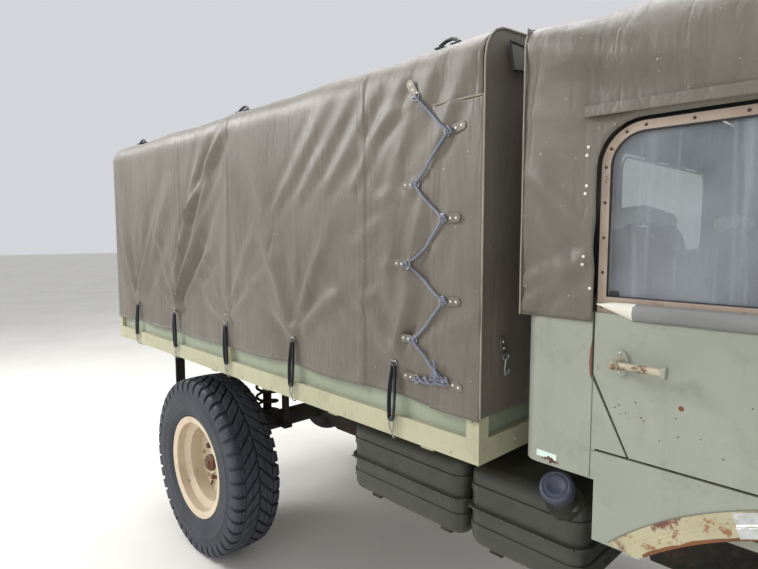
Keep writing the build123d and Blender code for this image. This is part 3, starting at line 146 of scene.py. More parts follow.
class Shade:
    """A principled material and short ways to wire its procedural inputs."""

    def __init__(self, name, base, roughness=0.6, metallic=0.0, **sockets):
        self.material = bpy.data.materials.new(name)
        self.material.use_nodes = True
        self.tree = self.material.node_tree
        self.shader = self.tree.nodes["Principled BSDF"]
        self.shader.inputs["Roughness"].default_value = roughness
        self.shader.inputs["Metallic"].default_value = metallic
        for key, value in sockets.items():
            self.shader.inputs[key.replace("_", " ")].default_value = value
        self.coord = self.tree.nodes.new("ShaderNodeTexCoord").outputs["Object"]
        self.tint = self.flat(colour(base))
        self.height = None

    def put(self, node, socket, value):
        if isinstance(value, bpy.types.NodeSocket):
            self.tree.links.new(value, node.inputs[socket])
        else:
            node.inputs[socket].default_value = value

    def flat(self, value):
        node = self.tree.nodes.new("ShaderNodeRGB")
        node.outputs[0].default_value = value
        return node.outputs[0]

    def stretch(self, scale, turn=(0, 0, 0)):
        node = self.tree.nodes.new("ShaderNodeMapping")
        self.put(node, "Vector", self.coord)
        node.inputs["Scale"].default_value = scale
        node.inputs["Rotation"].default_value = turn
        return node.outputs[0]

    def noise(self, scale, detail=4, rough=0.55, stretch=(1, 1, 1), warp=0.0, turn=(0, 0, 0)):
        node = self.tree.nodes.new("ShaderNodeTexNoise")
        self.put(node, "Vector", self.stretch(stretch, turn) if stretch != (1, 1, 1) else self.coord)
        node.inputs["Scale"].default_value = scale
        node.inputs["Detail"].default_value = detail
        node.inputs["Roughness"].default_value = rough
        node.inputs["Distortion"].default_value = warp
        return node.outputs["Fac"]

    def wave(self, scale, direction, turn=(0, 0, 0)):
        node = self.tree.nodes.new("ShaderNodeTexWave")
        node.bands_direction = direction
        self.put(node, "Vector", self.stretch((1, 1, 1), turn))
        node.inputs["Scale"].default_value = scale
        return node.outputs["Fac"]

    def span(self, value, low, high, out_low=0.0, out_high=1.0):
        node = self.tree.nodes.new("ShaderNodeMapRange")
        self.put(node, "Value", value)
        for socket, number in zip(("From Min", "From Max", "To Min", "To Max"),
                                  (low, high, out_low, out_high)):
            node.inputs[socket].default_value = number
        return node.outputs[0]

    def maths(self, kind, a, b):
        node = self.tree.nodes.new("ShaderNodeMath")
        node.operation = kind
        self.put(node, 0, a)
        self.put(node, 1, b)
        return node.outputs[0]

    def blend(self, amount, other, share=None):
        """Mixes another colour into the tint, by an amount or by a share of it."""
        if share is not None:
            amount = self.maths("MULTIPLY", amount, share)
        node = self.tree.nodes.new("ShaderNodeMix")
        node.data_type = "RGBA"
        self.put(node, 0, amount)
        self.put(node, 6, self.tint)
        self.put(node, 7, colour(other))
        self.tint = node.outputs[2]

    def up(self):
        """How far a surface faces upwards, from 0 to 1."""
        node = self.tree.nodes.new("ShaderNodeSeparateXYZ")
        geometry = self.tree.nodes.new("ShaderNodeNewGeometry")
        self.put(node, 0, geometry.outputs["Normal"])
        return self.span(node.outputs["Z"], 0.2, 1.0)

    def axis(self, name):
        node = self.tree.nodes.new("ShaderNodeSeparateXYZ")
        self.put(node, 0, self.coord)
        return node.outputs[name]

    def edges(self, low=0.52, high=0.60):
        """Convex edges, where paint wears."""
        geometry = self.tree.nodes.new("ShaderNodeNewGeometry")
        return self.span(geometry.outputs["Pointiness"], low, high)

    def bump(self, height, distance, strength=1.0):
        node = self.tree.nodes.new("ShaderNodeBump")
        self.put(node, "Height", height)
        node.inputs["Distance"].default_value = distance
        node.inputs["Strength"].default_value = strength
        if self.height is not None:
            self.put(node, "Normal", self.height)
        self.height = node.outputs[0]

    def rough(self, value):
        self.put(self.shader, "Roughness", value)

    def done(self):
        self.put(self.shader, "Base Color", self.tint)
        if self.height is not None:
            self.put(self.shader, "Normal", self.height)
        return self.material


def paint(name, base, pale, dark, rust=0.5, gloss=0.5, dust="#8d8674"):
    """Old brushed paint: fading, chips with rust, streaks that run down, and dust on top."""
    s = Shade(name, base, gloss)
    s.blend(s.span(s.noise(2.3, 5), 0.35, 0.7), pale)
    s.blend(s.span(s.noise(9, 6, 0.7), 0.52, 0.75), dark, 0.5)
    streak = s.span(s.noise(14, 5, 0.65, (1, 1, 0.12)), 0.55, 0.78)
    s.blend(streak, dark, 0.35)
    chips = s.maths("MULTIPLY", s.noise(55, 6, 0.8), s.span(s.noise(3.1, 3), 0.3, 0.75, 0.7, 1.12))
    chips = s.span(chips, 0.80 - 0.06 * rust, 0.82 - 0.06 * rust)
    s.blend(chips, "#5a3a24")
    speck = s.span(s.noise(34, 2, 0.5), 0.765 - 0.02 * rust, 0.785 - 0.02 * rust)
    s.blend(speck, "#6b4a36", 0.7)
    smudge = s.span(s.noise(26, 3, 0.5), 0.665, 0.72)
    s.blend(smudge, dark, 0.35)
    s.blend(s.up(), dust, 0.35)
    s.rough(s.span(s.noise(20, 4), 0.3, 0.7, gloss - 0.08, gloss + 0.15))
    s.bump(s.noise(160, 3), 0.0006, 0.35)
    s.bump(s.noise(5, 3), 0.004, 0.25)
    s.bump(s.maths("SUBTRACT", 1.0, chips), 0.0006, 0.6)
    return s.done()


def canvas(name, base, pale, dark, height, streaks=0.28):
    """Coated cloth: fine weave, scuffs, water marks, blotches darker towards its hem, and painted sky light
    that makes faces looking up paler.
    """
    s = Shade(name, base, 0.5, Sheen_Weight=0.1, Sheen_Roughness=0.4)
    s.blend(s.span(s.noise(1.6, 6, 0.6), 0.35, 0.72), pale)
    s.blend(s.span(s.noise(5.5, 6, 0.7, (1, 1, 0.4)), 0.5, 0.75), dark, 0.55)
    streak = s.span(s.noise(17, 4, 0.6, (1, 1, 0.06)), 0.52, 0.75)
    s.blend(streak, pale, streaks)
    # Blotches darker towards the hem, fading out 0.35 m above the given height.
    low = s.span(s.axis("Z"), height, height + 0.35, 1.0, 0.0)
    s.blend(low, dark, s.span(s.noise(7, 5), 0.35, 0.75, 0.0, 0.5))
    # Painted highlight: faces that look up are made paler, as sky light would make them.
    s.blend(s.up(), pale, 0.45)
    speck = s.span(s.noise(90, 2, 0.5), 0.735, 0.76)
    s.blend(speck, "#b5b0a2", 0.5)
    s.blend(s.edges(0.515, 0.56), pale, 0.22)
    s.rough(s.span(s.noise(8, 5), 0.3, 0.7, 0.34, 0.52))
    weave = s.maths("ADD", s.wave(260, "X"), s.wave(260, "Z"))
    weave = s.maths("ADD", weave, s.wave(260, "Y"))
    s.bump(weave, 0.0003, 0.25)
    s.bump(s.noise(26, 5, 0.6), 0.0018, 0.3)
    s.bump(s.noise(2.6, 4, 0.5, (1, 1, 0.35), 0.5), 0.020, 0.4)
    for turn, scale in ((0.55, 7.0), (-0.45, 9.0)):
        crease = s.noise(scale, 3, 0.5, (1, 1, 0.16), 0.35, (0, turn, 0))
        s.bump(s.span(s.maths("ABSOLUTE", s.maths("SUBTRACT", crease, 0.5), 0.0), 0.0, 0.06), 0.0022, 0.45)
    return s.done()


def rubber(name, base, dust, gloss=0.62):
    s = Shade(name, base, gloss)
    s.blend(s.span(s.noise(6, 5, 0.6), 0.4, 0.7), dust, 0.5)
    s.blend(s.span(s.noise(45, 5, 0.7), 0.55, 0.7), dust, 0.35)
    s.blend(s.edges(0.52, 0.6), dust, 0.3)
    s.bump(s.noise(120, 3), 0.0008, 0.4)
    s.rough(s.span(s.noise(12, 4), 0.3, 0.7, gloss - 0.08, gloss + 0.15))
    return s.done()


def bare_metal(name, base, stain, metallic=0.9, gloss=0.38, rust=0.0):
    s = Shade(name, base, gloss, metallic)
    s.blend(s.span(s.noise(30, 5, 0.7), 0.45, 0.7), stain, 0.6)
    if rust:
        s.blend(s.span(s.noise(22, 6, 0.8), 0.62 - 0.2 * rust, 0.72 - 0.2 * rust), "#5b3820")
    s.rough(s.span(s.noise(60, 4), 0.3, 0.7, gloss - 0.08, gloss + 0.2))
    s.bump(s.noise(220, 3), 0.0005, 0.3)
    return s.done()


def iron(name, base, rust_tint, amount=0.5):
    """Chassis steel: dark paint with dirt and rust under it."""
    s = Shade(name, base, 0.75)
    s.blend(s.span(s.noise(7, 6, 0.75), 0.62 - 0.2 * amount, 0.75 - 0.2 * amount), rust_tint)
    s.blend(s.span(s.noise(24, 5, 0.7), 0.5, 0.7), "#4f483c", 0.5)
    s.blend(s.up(), "#6f6653", 0.5)
    s.bump(s.noise(70, 5, 0.7), 0.0015, 0.6)
    return s.done()


def pane(name, tint, haze=0.25, alpha=0.28):
    """Clear sheet that years of sun have left hazy, with fine scratches."""
    s = Shade(name, tint, 0.12)
    scratches = s.span(s.noise(30, 3, 0.6, (1, 1, 0.05)), 0.55, 0.75, 0.0, 0.22)
    clouds = s.span(s.noise(4, 4), 0.3, 0.7, alpha - 0.1, alpha + haze * 0.6)
    s.put(s.shader, "Alpha", s.maths("ADD", scratches, clouds))
    s.rough(s.span(s.noise(9, 4), 0.3, 0.7, 0.06, 0.2))
    s.bump(s.noise(3, 2), 0.002, 0.3)
    return s.done()


def rope_material(name):
    s = Shade(name, "#6f7483", 0.7)
    twist = s.wave(230, "DIAGONAL", (0.5, 0.6, 0.4))
    s.blend(s.span(twist, 0.3, 0.8), "#a3a6b0", 0.6)
    s.blend(s.span(s.noise(40, 4), 0.5, 0.7), "#5a5c66", 0.4)
    s.bump(twist, 0.0012, 0.7)
    return s.done()


def wood(name):
    s = Shade(name, "#6f6047", 0.8)
    grain = s.noise(22, 6, 0.7, (0.06, 1, 1), 0.4)
    s.blend(s.span(grain, 0.4, 0.65), "#8a7a5c")
    s.blend(s.span(s.wave(3.2, "Y"), 0.0, 0.03, 1.0, 0.0), "#1d1812")
    s.bump(grain, 0.002, 0.5)
    return s.done()


def fabric(name, base, pale):
    s = Shade(name, base, 0.85, Sheen_Weight=0.3)
    s.blend(s.span(s.noise(6, 5), 0.35, 0.7), pale)
    weave = s.maths("ADD", s.wave(150, "X"), s.wave(150, "Y"))
    s.bump(weave, 0.0006, 0.4)
    s.bump(s.noise(14, 4), 0.004, 0.4)
    return s.done()


def worn_lip(name):
    """Yellowed primer with broad patches of rust, as on the lip of the wheel arch."""
    s = Shade(name, "#a8a183", 0.5)
    s.blend(s.span(s.noise(9, 4), 0.4, 0.7), "#b9b190")
    s.blend(s.span(s.noise(8, 6, 0.7, (1, 1, 0.8), 0.5), 0.50, 0.56), "#6b4333")
    s.blend(s.span(s.noise(30, 5, 0.7), 0.56, 0.62), "#8a5f3f")
    s.bump(s.noise(60, 5, 0.7), 0.0012, 0.6)
    return s.done()


def milky_glowing(name, tint):
    """Old clear vinyl gone cloudy white, with a faint painted glow of its own tint, though it is no lamp."""
    s = Shade(name, tint, 0.3)
    s.blend(s.span(s.noise(5, 4), 0.4, 0.7), "#b9bdb6")
    s.put(s.shader, "Alpha", s.span(s.noise(7, 4), 0.3, 0.7, 0.78, 0.95))
    # Painted light: a faint emission makes the pane glow.
    s.put(s.shader, "Emission Color", colour(tint))
    s.put(s.shader, "Emission Strength", 0.25)
    s.bump(s.noise(6, 3), 0.004, 0.5)
    return s.done()


# Every look: its kind, its name, and what the kind's function asks for
LOOKS = (
    (paint, "body_paint", "#898d80", "#95998c", "#717568", 0.5, 0.40),
    (paint, "bed_paint", "#a4a285", "#b1ae93", "#827f66", 0.5, 0.5),
    (paint, "board_paint", "#88907b", "#959c88", "#6c7461", 0.3, 0.5),
    (iron, "chassis_paint", "#26241f", "#3d2a1c", 0.6),
    (paint, "tank_paint", "#2f312a", "#393b33", "#23241f", 0.1, 0.40, "#45433a"),
    (paint, "rim_paint", "#c8b69c", "#d3c5ae", "#9d8a6e", 3.0, 0.45),
    (rubber, "tyre_rubber", "#23272e", "#464b54"),
    (iron, "engine_iron", "#2c2d2b", "#3a3129", 0.3),
    (iron, "exhaust_steel", "#4a3a2e", "#6b3f22", 0.9),
    (rubber, "cap_plastic", "#363a49", "#565a6c", 0.45),
    (paint, "window_frame_metal", "#8f7e70", "#a39484", "#6f5346", 3.6, 0.5),
    (pane, "pane", "#a9b1b8", 0.20, 0.24),
    (pane, "lamp_glass", "#c9cbc8", 0.1, 0.5),
    (paint, "grille_metal", "#7f8771", "#8f967f", "#5d6453", 0.8, 0.5),
    (paint, "black_metal", "#1c1c1b", "#2a2a28", "#0f0f0f", 0.3, 0.45),
    (rubber, "black_plastic", "#191a1b", "#33353a", 0.45),
    (fabric, "seat_fabric", "#8f8876", "#a9a391"),
    (fabric, "seat_red", "#6e3e35", "#7f5146"),
    (canvas, "cab_canvas", "#5c574c", "#6c675d", "#4b473d", 1.55, 0.10),
    (canvas, "cargo_canvas", "#635c51", "#726b61", "#514a40", 1.27),
    (wood, "bed_wood"),
    (paint, "bow_steel", "#7b8068", "#8b8f78", "#5f634f", 0.5, 0.5),
    (fabric, "piping", "#86806f", "#9c9686"),
    (rubber, "strap_rubber", "#17181b", "#34353a", 0.5),
    (bare_metal, "zinc", "#a2a3a4", "#6f7073"),
    (bare_metal, "tab", "#7b766c", "#57534b", 0.7, 0.45),
    (rubber, "rivet", "#d9d8d2", "#bdbab0", 0.4),
    (rope_material, "rope"),
    (rubber, "skirt", "#717270", "#868681", 0.42),
    (rubber, "skirt_white", "#c9c4b6", "#e0dccf", 0.6),
    (iron, "rusty", "#5b3a24", "#7a4a28", 1.2),
    (bare_metal, "chrome", "#b9b7ae", "#8c887c", 0.85, 0.3, 0.25),
    (rubber, "red_lens", "#6b1712", "#7d2a22", 0.2),
    (rubber, "amber_lens", "#a3571a", "#b56a2b", 0.2),
    (bare_metal, "patch_tape", "#c2c4c2", "#8f908d", 0.7, 0.35),
    (paint, "sticker", "#c9ddd2", "#d9e6de", "#8f9a8f", 1.4, 0.4),
    (iron, "hub_rust", "#6b4a35", "#54382a", 0.9),
    (pane, "headlamp_glass", "#dfe3e2", 0.1, 0.6),
    (bare_metal, "mirror_glass", "#b9bdc0", "#9da2a6", 1.0, 0.08),
    (fabric, "seat_cream", "#b9b2a0", "#cfc8b6"),
    (iron, "frame_screw", "#3b2c26", "#5a3526", 0.9),
    (worn_lip, "arch_paint"),
    (iron, "rust_spot", "#4a2c20", "#6d432c", 1.2),
    (paint, "seam_shade", "#5f6358", "#6e7266", "#4a4d44", 0.8, 0.6),
    (bare_metal, "lever_metal", "#b3aa94", "#7a6250", 0.25, 0.42, 0.55),
    (milky_glowing, "vinyl", "#d4d8d2"),
)
MATERIALS = {row[1]: row[0](*row[1:]) for row in LOOKS}


def dress_cad_nodes():
    for part in frame["record"]["subparts"]:
        node = frame["nodes"][part["node"]]
        node.data.materials.clear()
        node.data.materials.append(MATERIALS[part["material_slot"]])


class Build:
    """Collects vertices and faces of many small forms and joins them in one mesh."""

    def __init__(self):
        self.points = []
        self.faces = []

    def add(self, points, faces):
        start = len(self.points)
        self.points.extend(tuple(p) for p in points)
        self.faces.extend(tuple(i + start for i in face) for face in faces)

    def rings(self, rings, closed=False, caps=True):
        """Skins equal rings of points, one after the other."""
        count = len(rings[0])
        points = [p for ring in rings for p in ring]
        faces = []
        for i in range(len(rings) if closed else len(rings) - 1):
            a, b = i * count, ((i + 1) % len(rings)) * count
            faces += [(a + j, a + (j + 1) % count, b + (j + 1) % count, b + j) for j in range(count)]
        if caps and not closed:
            faces += [tuple(range(count))[::-1], tuple(range(len(points) - count, len(points)))]
        self.add(points, faces)

    def tube(self, path, radius, sides=10, closed=False):
        path = [Vector(p) for p in path]
        rings, normal = [], None
        last = len(path) - 1
        turn = around(sides)
        for i, p in enumerate(path):
            if closed:
                ahead = path[(i + 1) % len(path)] - path[i - 1]
            else:
                ahead = path[min(i + 1, last)] - path[max(i - 1, 0)]
            ahead.normalize()
            if normal is None:
                normal = ahead.orthogonal().normalized()
            normal = (normal - ahead * normal.dot(ahead)).normalized()
            side = ahead.cross(normal)
            rings.append([p + (normal * math.cos(a) + side * math.sin(a)) * radius for a in turn])
        self.rings(rings, closed)

    def turned(self, centre, axis, profile, sides=24, caps=True):
        """Revolves (distance along the axis, radius) pairs about an axis."""
        centre, axis = Vector(centre), Vector(axis).normalized()
        first = axis.orthogonal().normalized()
        second = axis.cross(first)
        rings = []
        for along, radius in profile:
            rings.append([centre + axis * along + (first * math.cos(a) + second * math.sin(a)) * radius
                          for a in around(sides)])
        self.rings(rings, caps=caps)

    def dome(self, centre, axis, radius, height, sides=12):
        shape = ((0, 1), (0.5, 0.87), (0.85, 0.5), (1, 0.08))
        self.turned(centre, axis, [(height * h, radius * r) for h, r in shape], sides)

    def bolt(self, centre, axis, radius, height):
        """A six-sided head on a round washer."""
        self.turned(centre, axis, [(0, radius * 1.5), (height * 0.2, radius * 1.5)], 14)
        head = [(height * 0.2, radius), (height * 0.85, radius), (height, radius * 0.8)]
        self.turned(centre, axis, head, 6)

    def spot(self, centre, axis, radius, shoulder):
        """A flat spot of rust."""
        self.turned(centre, axis, [(0, radius), (0.0007, radius * shoulder), (0.0008, radius * 0.3)], 9)

    def plate(self, outline, place, thickness, edge=0.0):
        """A flat outline of (u, v) pairs, placed by a matrix whose Z is its face, with a broken edge."""
        middle = Vector((sum(p[0] for p in outline), sum(p[1] for p in outline))) / len(outline)
        rings = []
        for height, inset in ((0, 0), (thickness - edge, 0), (thickness, edge)):
            ring = []
            for u, v in outline:
                away = (Vector((u, v)) - middle).normalized() * inset
                ring.append(place @ Vector((u - away.x, v - away.y, height)))
            rings.append(ring)
        self.rings(rings)

    def slab(self, low, high, edge=0.002):
        """A box with broken edges."""
        low, high = Vector(low), Vector(high)
        rings = []
        for z, inset in ((low.z, edge), (low.z + edge, 0), (high.z - edge, 0), (high.z, edge)):
            rings.append([(low.x + inset, low.y + inset, z), (high.x - inset, low.y + inset, z),
                          (high.x - inset, high.y - inset, z), (low.x + inset, high.y - inset, z)])
        self.rings(rings)

    def make(self, name, key, body=ROOT, smooth=40):
        mesh = bpy.data.meshes.new(name)
        mesh.from_pydata(self.points, [], self.faces)
        tidy = bmesh.new()
        tidy.from_mesh(mesh)
        bmesh.ops.recalc_face_normals(tidy, faces=tidy.faces)
        tidy.to_mesh(mesh)
        tidy.free()
        return finish_piece(mesh, name, key, body, smooth)


def finish_piece(mesh, name, key, body=ROOT, smooth=40):
    piece = bpy.data.objects.new(name, mesh)
    bpy.context.scene.collection.objects.link(piece)
    mesh.materials.append(MATERIALS[key])
    mesh.shade_smooth()
    mesh.set_sharp_from_angle(angle=math.radians(smooth))
    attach(piece, body)
    return piece


def thicken(piece):
    """Gives a cloth surface its thickness, inwards."""
    shell = piece.modifiers.new("thickness", "SOLIDIFY")
    shell.thickness = CLOTH_T
    shell.offset = -1
    return piece


def grid_faces(columns, rows, start=0):
    """Faces of a grid whose points lie column by column."""
    faces = []
    for i in range(columns - 1):
        for j in range(rows - 1):
            a = start + i * rows + j
            faces.append((a, a + rows, a + rows + 1, a + 1))
    return faces


def rounded(width, height, radius, steps=4):
    """Outline of a rectangle with round corners, as (u, v) pairs round the middle."""
    outline = []
    for cx, cy, start in ((1, 1, 0), (-1, 1, 90), (-1, -1, 180), (1, -1, 270)):
        for k in range(steps + 1):
            a = math.radians(start + 90 * k / steps)
            outline.append((cx * (width / 2 - radius) + radius * math.cos(a),
                            cy * (height / 2 - radius) + radius * math.sin(a)))
    return outline


def facing(origin, normal, along):
    """Placement whose Z is the normal and X the direction along."""
    z = Vector(normal).normalized()
    x = (Vector(along) - z * Vector(along).dot(z)).normalized()
    y = z.cross(x)
    place = Matrix((x, y, z)).transposed().to_4x4()
    place.translation = Vector(origin)
    return place


# The cargo cover
def girth_line():
    """Cross-section of the cover as (y, z) pairs from the right hem over the roof to the left one."""
    half = COVER_HALF - CLOTH_T
    wall = EAVE_Z - EAVE_R - COVER_LOW.z
    line = [(-half, COVER_LOW.z + HEM_LIFT + k * wall / WALL_STEPS) for k in range(WALL_STEPS)]
    slope = math.atan2(CROWN, half)
    for k in range(EAVE_STEPS + 1):
        a = math.pi - (math.pi / 2 - slope) * k / EAVE_STEPS
        line.append((-half + EAVE_R + EAVE_R * math.cos(a), EAVE_Z - EAVE_R + EAVE_R * math.sin(a)))
    edge_y, edge_z = line[-1]
    rise = COVER_HIGH.z - RIDGE_DROP - edge_z
    for k in range(1, ROOF_STEPS + 1):
        t = k / ROOF_STEPS
        line.append((edge_y * (1 - t), edge_z + rise * math.sin(t * math.pi / 2) ** 1.15))
    line += [(-y, z) for y, z in line[-2::-1]]
    return line


def resample(line, step=None, count=None):
    """Points at equal distances along a line of (y, z) pairs, by their step or by their count."""
    line = np.array(line)
    along = np.concatenate([[0], np.cumsum(np.linalg.norm(np.diff(line, axis=0), axis=1))])
    count = count or int(round(along[-1] / step))
    wanted = np.linspace(0, along[-1], count + 1)
    return [(np.interp(s, along, line[:, 0]), np.interp(s, along, line[:, 1])) for s in wanted]


def outward(line):
    """The direction square to a line of (y, z) pairs at each of its points."""
    ways = []
    for j in range(len(line)):
        before, after = line[max(j - 1, 0)], line[min(j + 1, len(line) - 1)]
        tangent = Vector((after[0] - before[0], after[1] - before[1])).normalized()
        ways.append((-tangent.y, tangent.x))
    return ways


def crease_fans():
    """Short creases that fan out from the straps, the lacing's rings and the front end of the eave."""
    fans = []
    for i, strap in enumerate(STRAPS):
        for k in range(5):
            shift = drift(i * 3.7, k * 2.3, 1.0)
            angle = math.radians(-60 + 30 * k + 16 * shift)
            reach = 0.30 + 0.45 * abs(drift(i * 1.9, k * 5.1, 2.0)) + 0.18 * (k % 2)
            x0 = strap - BED_FRONT
            fans.append((x0 + reach * math.sin(angle), 1.40 + reach * math.cos(angle), x0, 1.40,
                         0.024 + 0.008 * shift, 0.0034 + 0.002 * shift))
    for i, z in enumerate((2.18, 1.93, 1.70, 1.47)):
        for k in range(4):
            shift = drift(i * 2.9, k * 4.3, 5.0)
            angle = math.radians(196 + 17 * k + 16 * shift)
            reach = 0.20 + 0.16 * (k % 2) + 0.10 * shift
            fans.append((-0.25 + reach * math.cos(angle), z + reach * math.sin(angle), -0.245, z,
                         0.020 + 0.005 * shift, 0.0030))
    for k in range(6):
        shift = drift(k * 3.3, 8.0, 1.0)
        end = (-0.16 - 0.17 * k + 0.05 * shift, 2.02 - 0.03 * k + 0.05 * shift)
        fans.append((-0.03 - 0.11 * k, 2.30, *end, 0.028 + 0.008 * shift, 0.0045))
    return fans


def prepared(folds):
    """Each fold as its start, unit direction, length, half width and depth."""
    ready = []
    for x0, z0, x1, z1, width, depth in folds:
        length = math.hypot(x1 - x0, z1 - z0)
        ready.append((x0, z0, (x1 - x0) / length, (z1 - z0) / length, length, width, depth))
    return ready


COVER_FOLDS = prepared(FOLDS + tuple(crease_fans()))


def fold_height(x, z):
    """Folds that run from the eave and seams down to the straps, with a valley on each side."""
    total = 0.0
    for x0, z0, ux, uz, length, width, depth in COVER_FOLDS:
        t = ((x - x0) * ux + (z - z0) * uz) / length
        if -0.15 < t < 1.05:
            d = (x - x0) * uz - (z - z0) * ux
            d /= width * (1.25 - 0.55 * max(0.0, min(1.0, t)))
            if abs(d) < 4:
                along = smooth_step((t + 0.15) / 0.5) * smooth_step((1.05 - t) / 0.12)
                ridge = math.exp(-abs(d) ** 1.5) - 0.5 * math.exp(-((abs(d) - 1.9) ** 2) * 1.2)
                total += FOLD_GAIN * depth * along * ridge
    return total


def strap_pull(x, z):
    """Dimples where the straps pull the hem down and in."""
    total = 0.0
    for strap in STRAPS:
        d = (x - strap) / PULL_W
        total -= PULL_DEPTH * math.exp(-d * d) * smooth_step((PULL_TOP_Z - z) / 0.2)
    return total


def cover_columns(first, last, step):
    """X values of the grid, with extra columns at the edges of the seams."""
    count = int(round((last - first) / step))
    values = {first + (last - first) * i / count for i in range(count + 1)}
    for seam in SEAMS:
        if first < seam < last:
            for offset in (SEAM_W / 2 - 0.001, SEAM_W / 2 + 0.002):
                values.update((seam - offset, seam + offset))
    ordered = sorted(values)
    return [x for i, x in enumerate(ordered) if i == 0 or x - ordered[i - 1] > 0.0009]


BOWS_LOW, BOWS_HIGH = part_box("bows")
BOW_R = 0.015
BOW_SPAN = BOWS_HIGH.x - BOWS_LOW.x - 2 * BOW_R
BOW_X = [BOWS_LOW.x + BOW_R + BOW_SPAN * i / (BOWS - 1) for i in range(BOWS)]
POST_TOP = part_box("side_boards")[1].z
POST_INSET = 0.022
POSTS = (BED_REAR + POST_INSET, (BED_FRONT + BED_REAR) / 2, BED_FRONT - POST_INSET)


def cover_offset(x, y, z, side):
    """How far the cloth stands off its smooth outline, outwards."""
    local = x - BED_FRONT
    reach = smooth_step(min(abs(x - b) for b in BOW_X) / BOW_REACH)
    roof = smooth_step((z - EAVE_Z + 0.06) / 0.1)
    wall = 1 - roof
    ripple = drift(local * 3.1, z * 1.2 + y, side * 7.0)
    fine = drift(local * 9.0 + z * 3.0, z * 2.4, y * 4.0 + side * 3.0)
    sag = -SAG * reach * roof * (1 - 0.4 * abs(y) / COVER_HALF)
    slack = wall * (0.006 * ripple + 0.0025 * fine - 0.004 * reach)
    creases = roof * 0.0035 * drift(local * 16 + y * 9, y * 2.5, 3.0)
    if side < 0:
        folds = fold_height(local, z) * wall
    else:
        folds = LEFT_FOLD_SHARE * fold_height(-BED_LENGTH - local, z) * wall
    seam = 0.0022 if min(abs(x - s) for s in SEAMS) < SEAM_W / 2 else 0.0
    hem = 0.0015 if z < COVER_LOW.z + 0.035 else 0.0
    total = sag + slack + creases + folds + strap_pull(x, z) * wall + seam + hem
    # No post of the bed pokes through the cloth
    post = min(abs(x - p) for p in POSTS)
    least = -0.019 + 0.0175 * smooth_step((0.050 - post) / 0.024)
    return total + max(0.0, least - total) * smooth_step((POST_TOP + 0.04 - z) / 0.03)


def hem_drop(x, z):
    """The hem hangs lower between straps and is pulled tight at them; higher up the cloth stays."""
    near = min(abs(x - s) for s in STRAPS)
    drop = -0.004 * smooth_step(near / 0.26) + 0.003 * drift(x * 3.7, 5.0, 0.0)
    return drop * smooth_step((COVER_LOW.z + HEM_REACH - z) / HEM_REACH)


def cargo_cover():
    """Roof and sides of the cargo cover in one cloth."""
    line = resample(girth_line(), GIRTH_STEP)
    ways = outward(line)
    columns = cover_columns(BED_REAR + 0.004, BED_FRONT - 0.002, COLUMN_STEP)
    points = []
    for x in columns:
        for (y, z), (out_y, out_z) in zip(line, ways):
            off = cover_offset(x, y, z, -1 if y < 0 else 1)
            points.append((x, y + out_y * off, z + out_z * off + hem_drop(x, z)))
    mesh = bpy.data.meshes.new("cargo_tarp")
    mesh.from_pydata(points, [], grid_faces(len(columns), len(line)))
    tarp = thicken(finish_piece(mesh, "cargo_tarp", "cargo_canvas", smooth=50))
    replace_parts(tarp, "cargo_cover")


def outline_top(y):
    """Height of the cover's outline at a distance from the middle."""
    line = np.array([p for p in girth_line() if p[0] <= 0 and p[1] >= EAVE_Z - EAVE_R - 0.001])
    return float(np.interp(-abs(y), line[:, 0], line[:, 1]))


def sheet_mesh(name, grids, key):
    """One cloth from several grids of points, each a list of equal columns."""
    points, faces = [], []
    for grid in grids:
        faces += grid_faces(len(grid), len(grid[0]), len(points))
        points += [tuple(p) for column in grid for p in column]
    mesh = bpy.data.meshes.new(name)
    mesh.from_pydata(points, [], faces)
    form = bmesh.new()
    form.from_mesh(mesh)
    bmesh.ops.remove_doubles(form, verts=form.verts, dist=0.0008)
    form.to_mesh(mesh)
    form.free()
    return thicken(finish_piece(mesh, name, key, smooth=50))


def side_y(x, z, side=-1, lift=0.0):
    """Where the cover's side surface is at a point, the front flap included."""
    flap = 0.005 if x > BED_FRONT - LAP and z < LAP_TOP_Z else 0.0
    return side * (COVER_HALF - CLOTH_T + cover_offset(x, side * COVER_HALF, z, side) + flap + lift)


def crowded(half, count):
    """Values from -half to half that crowd towards both ends."""
    return [half * math.sin(math.pi / 2 * (2 * i / count - 1)) for i in range(count + 1)]


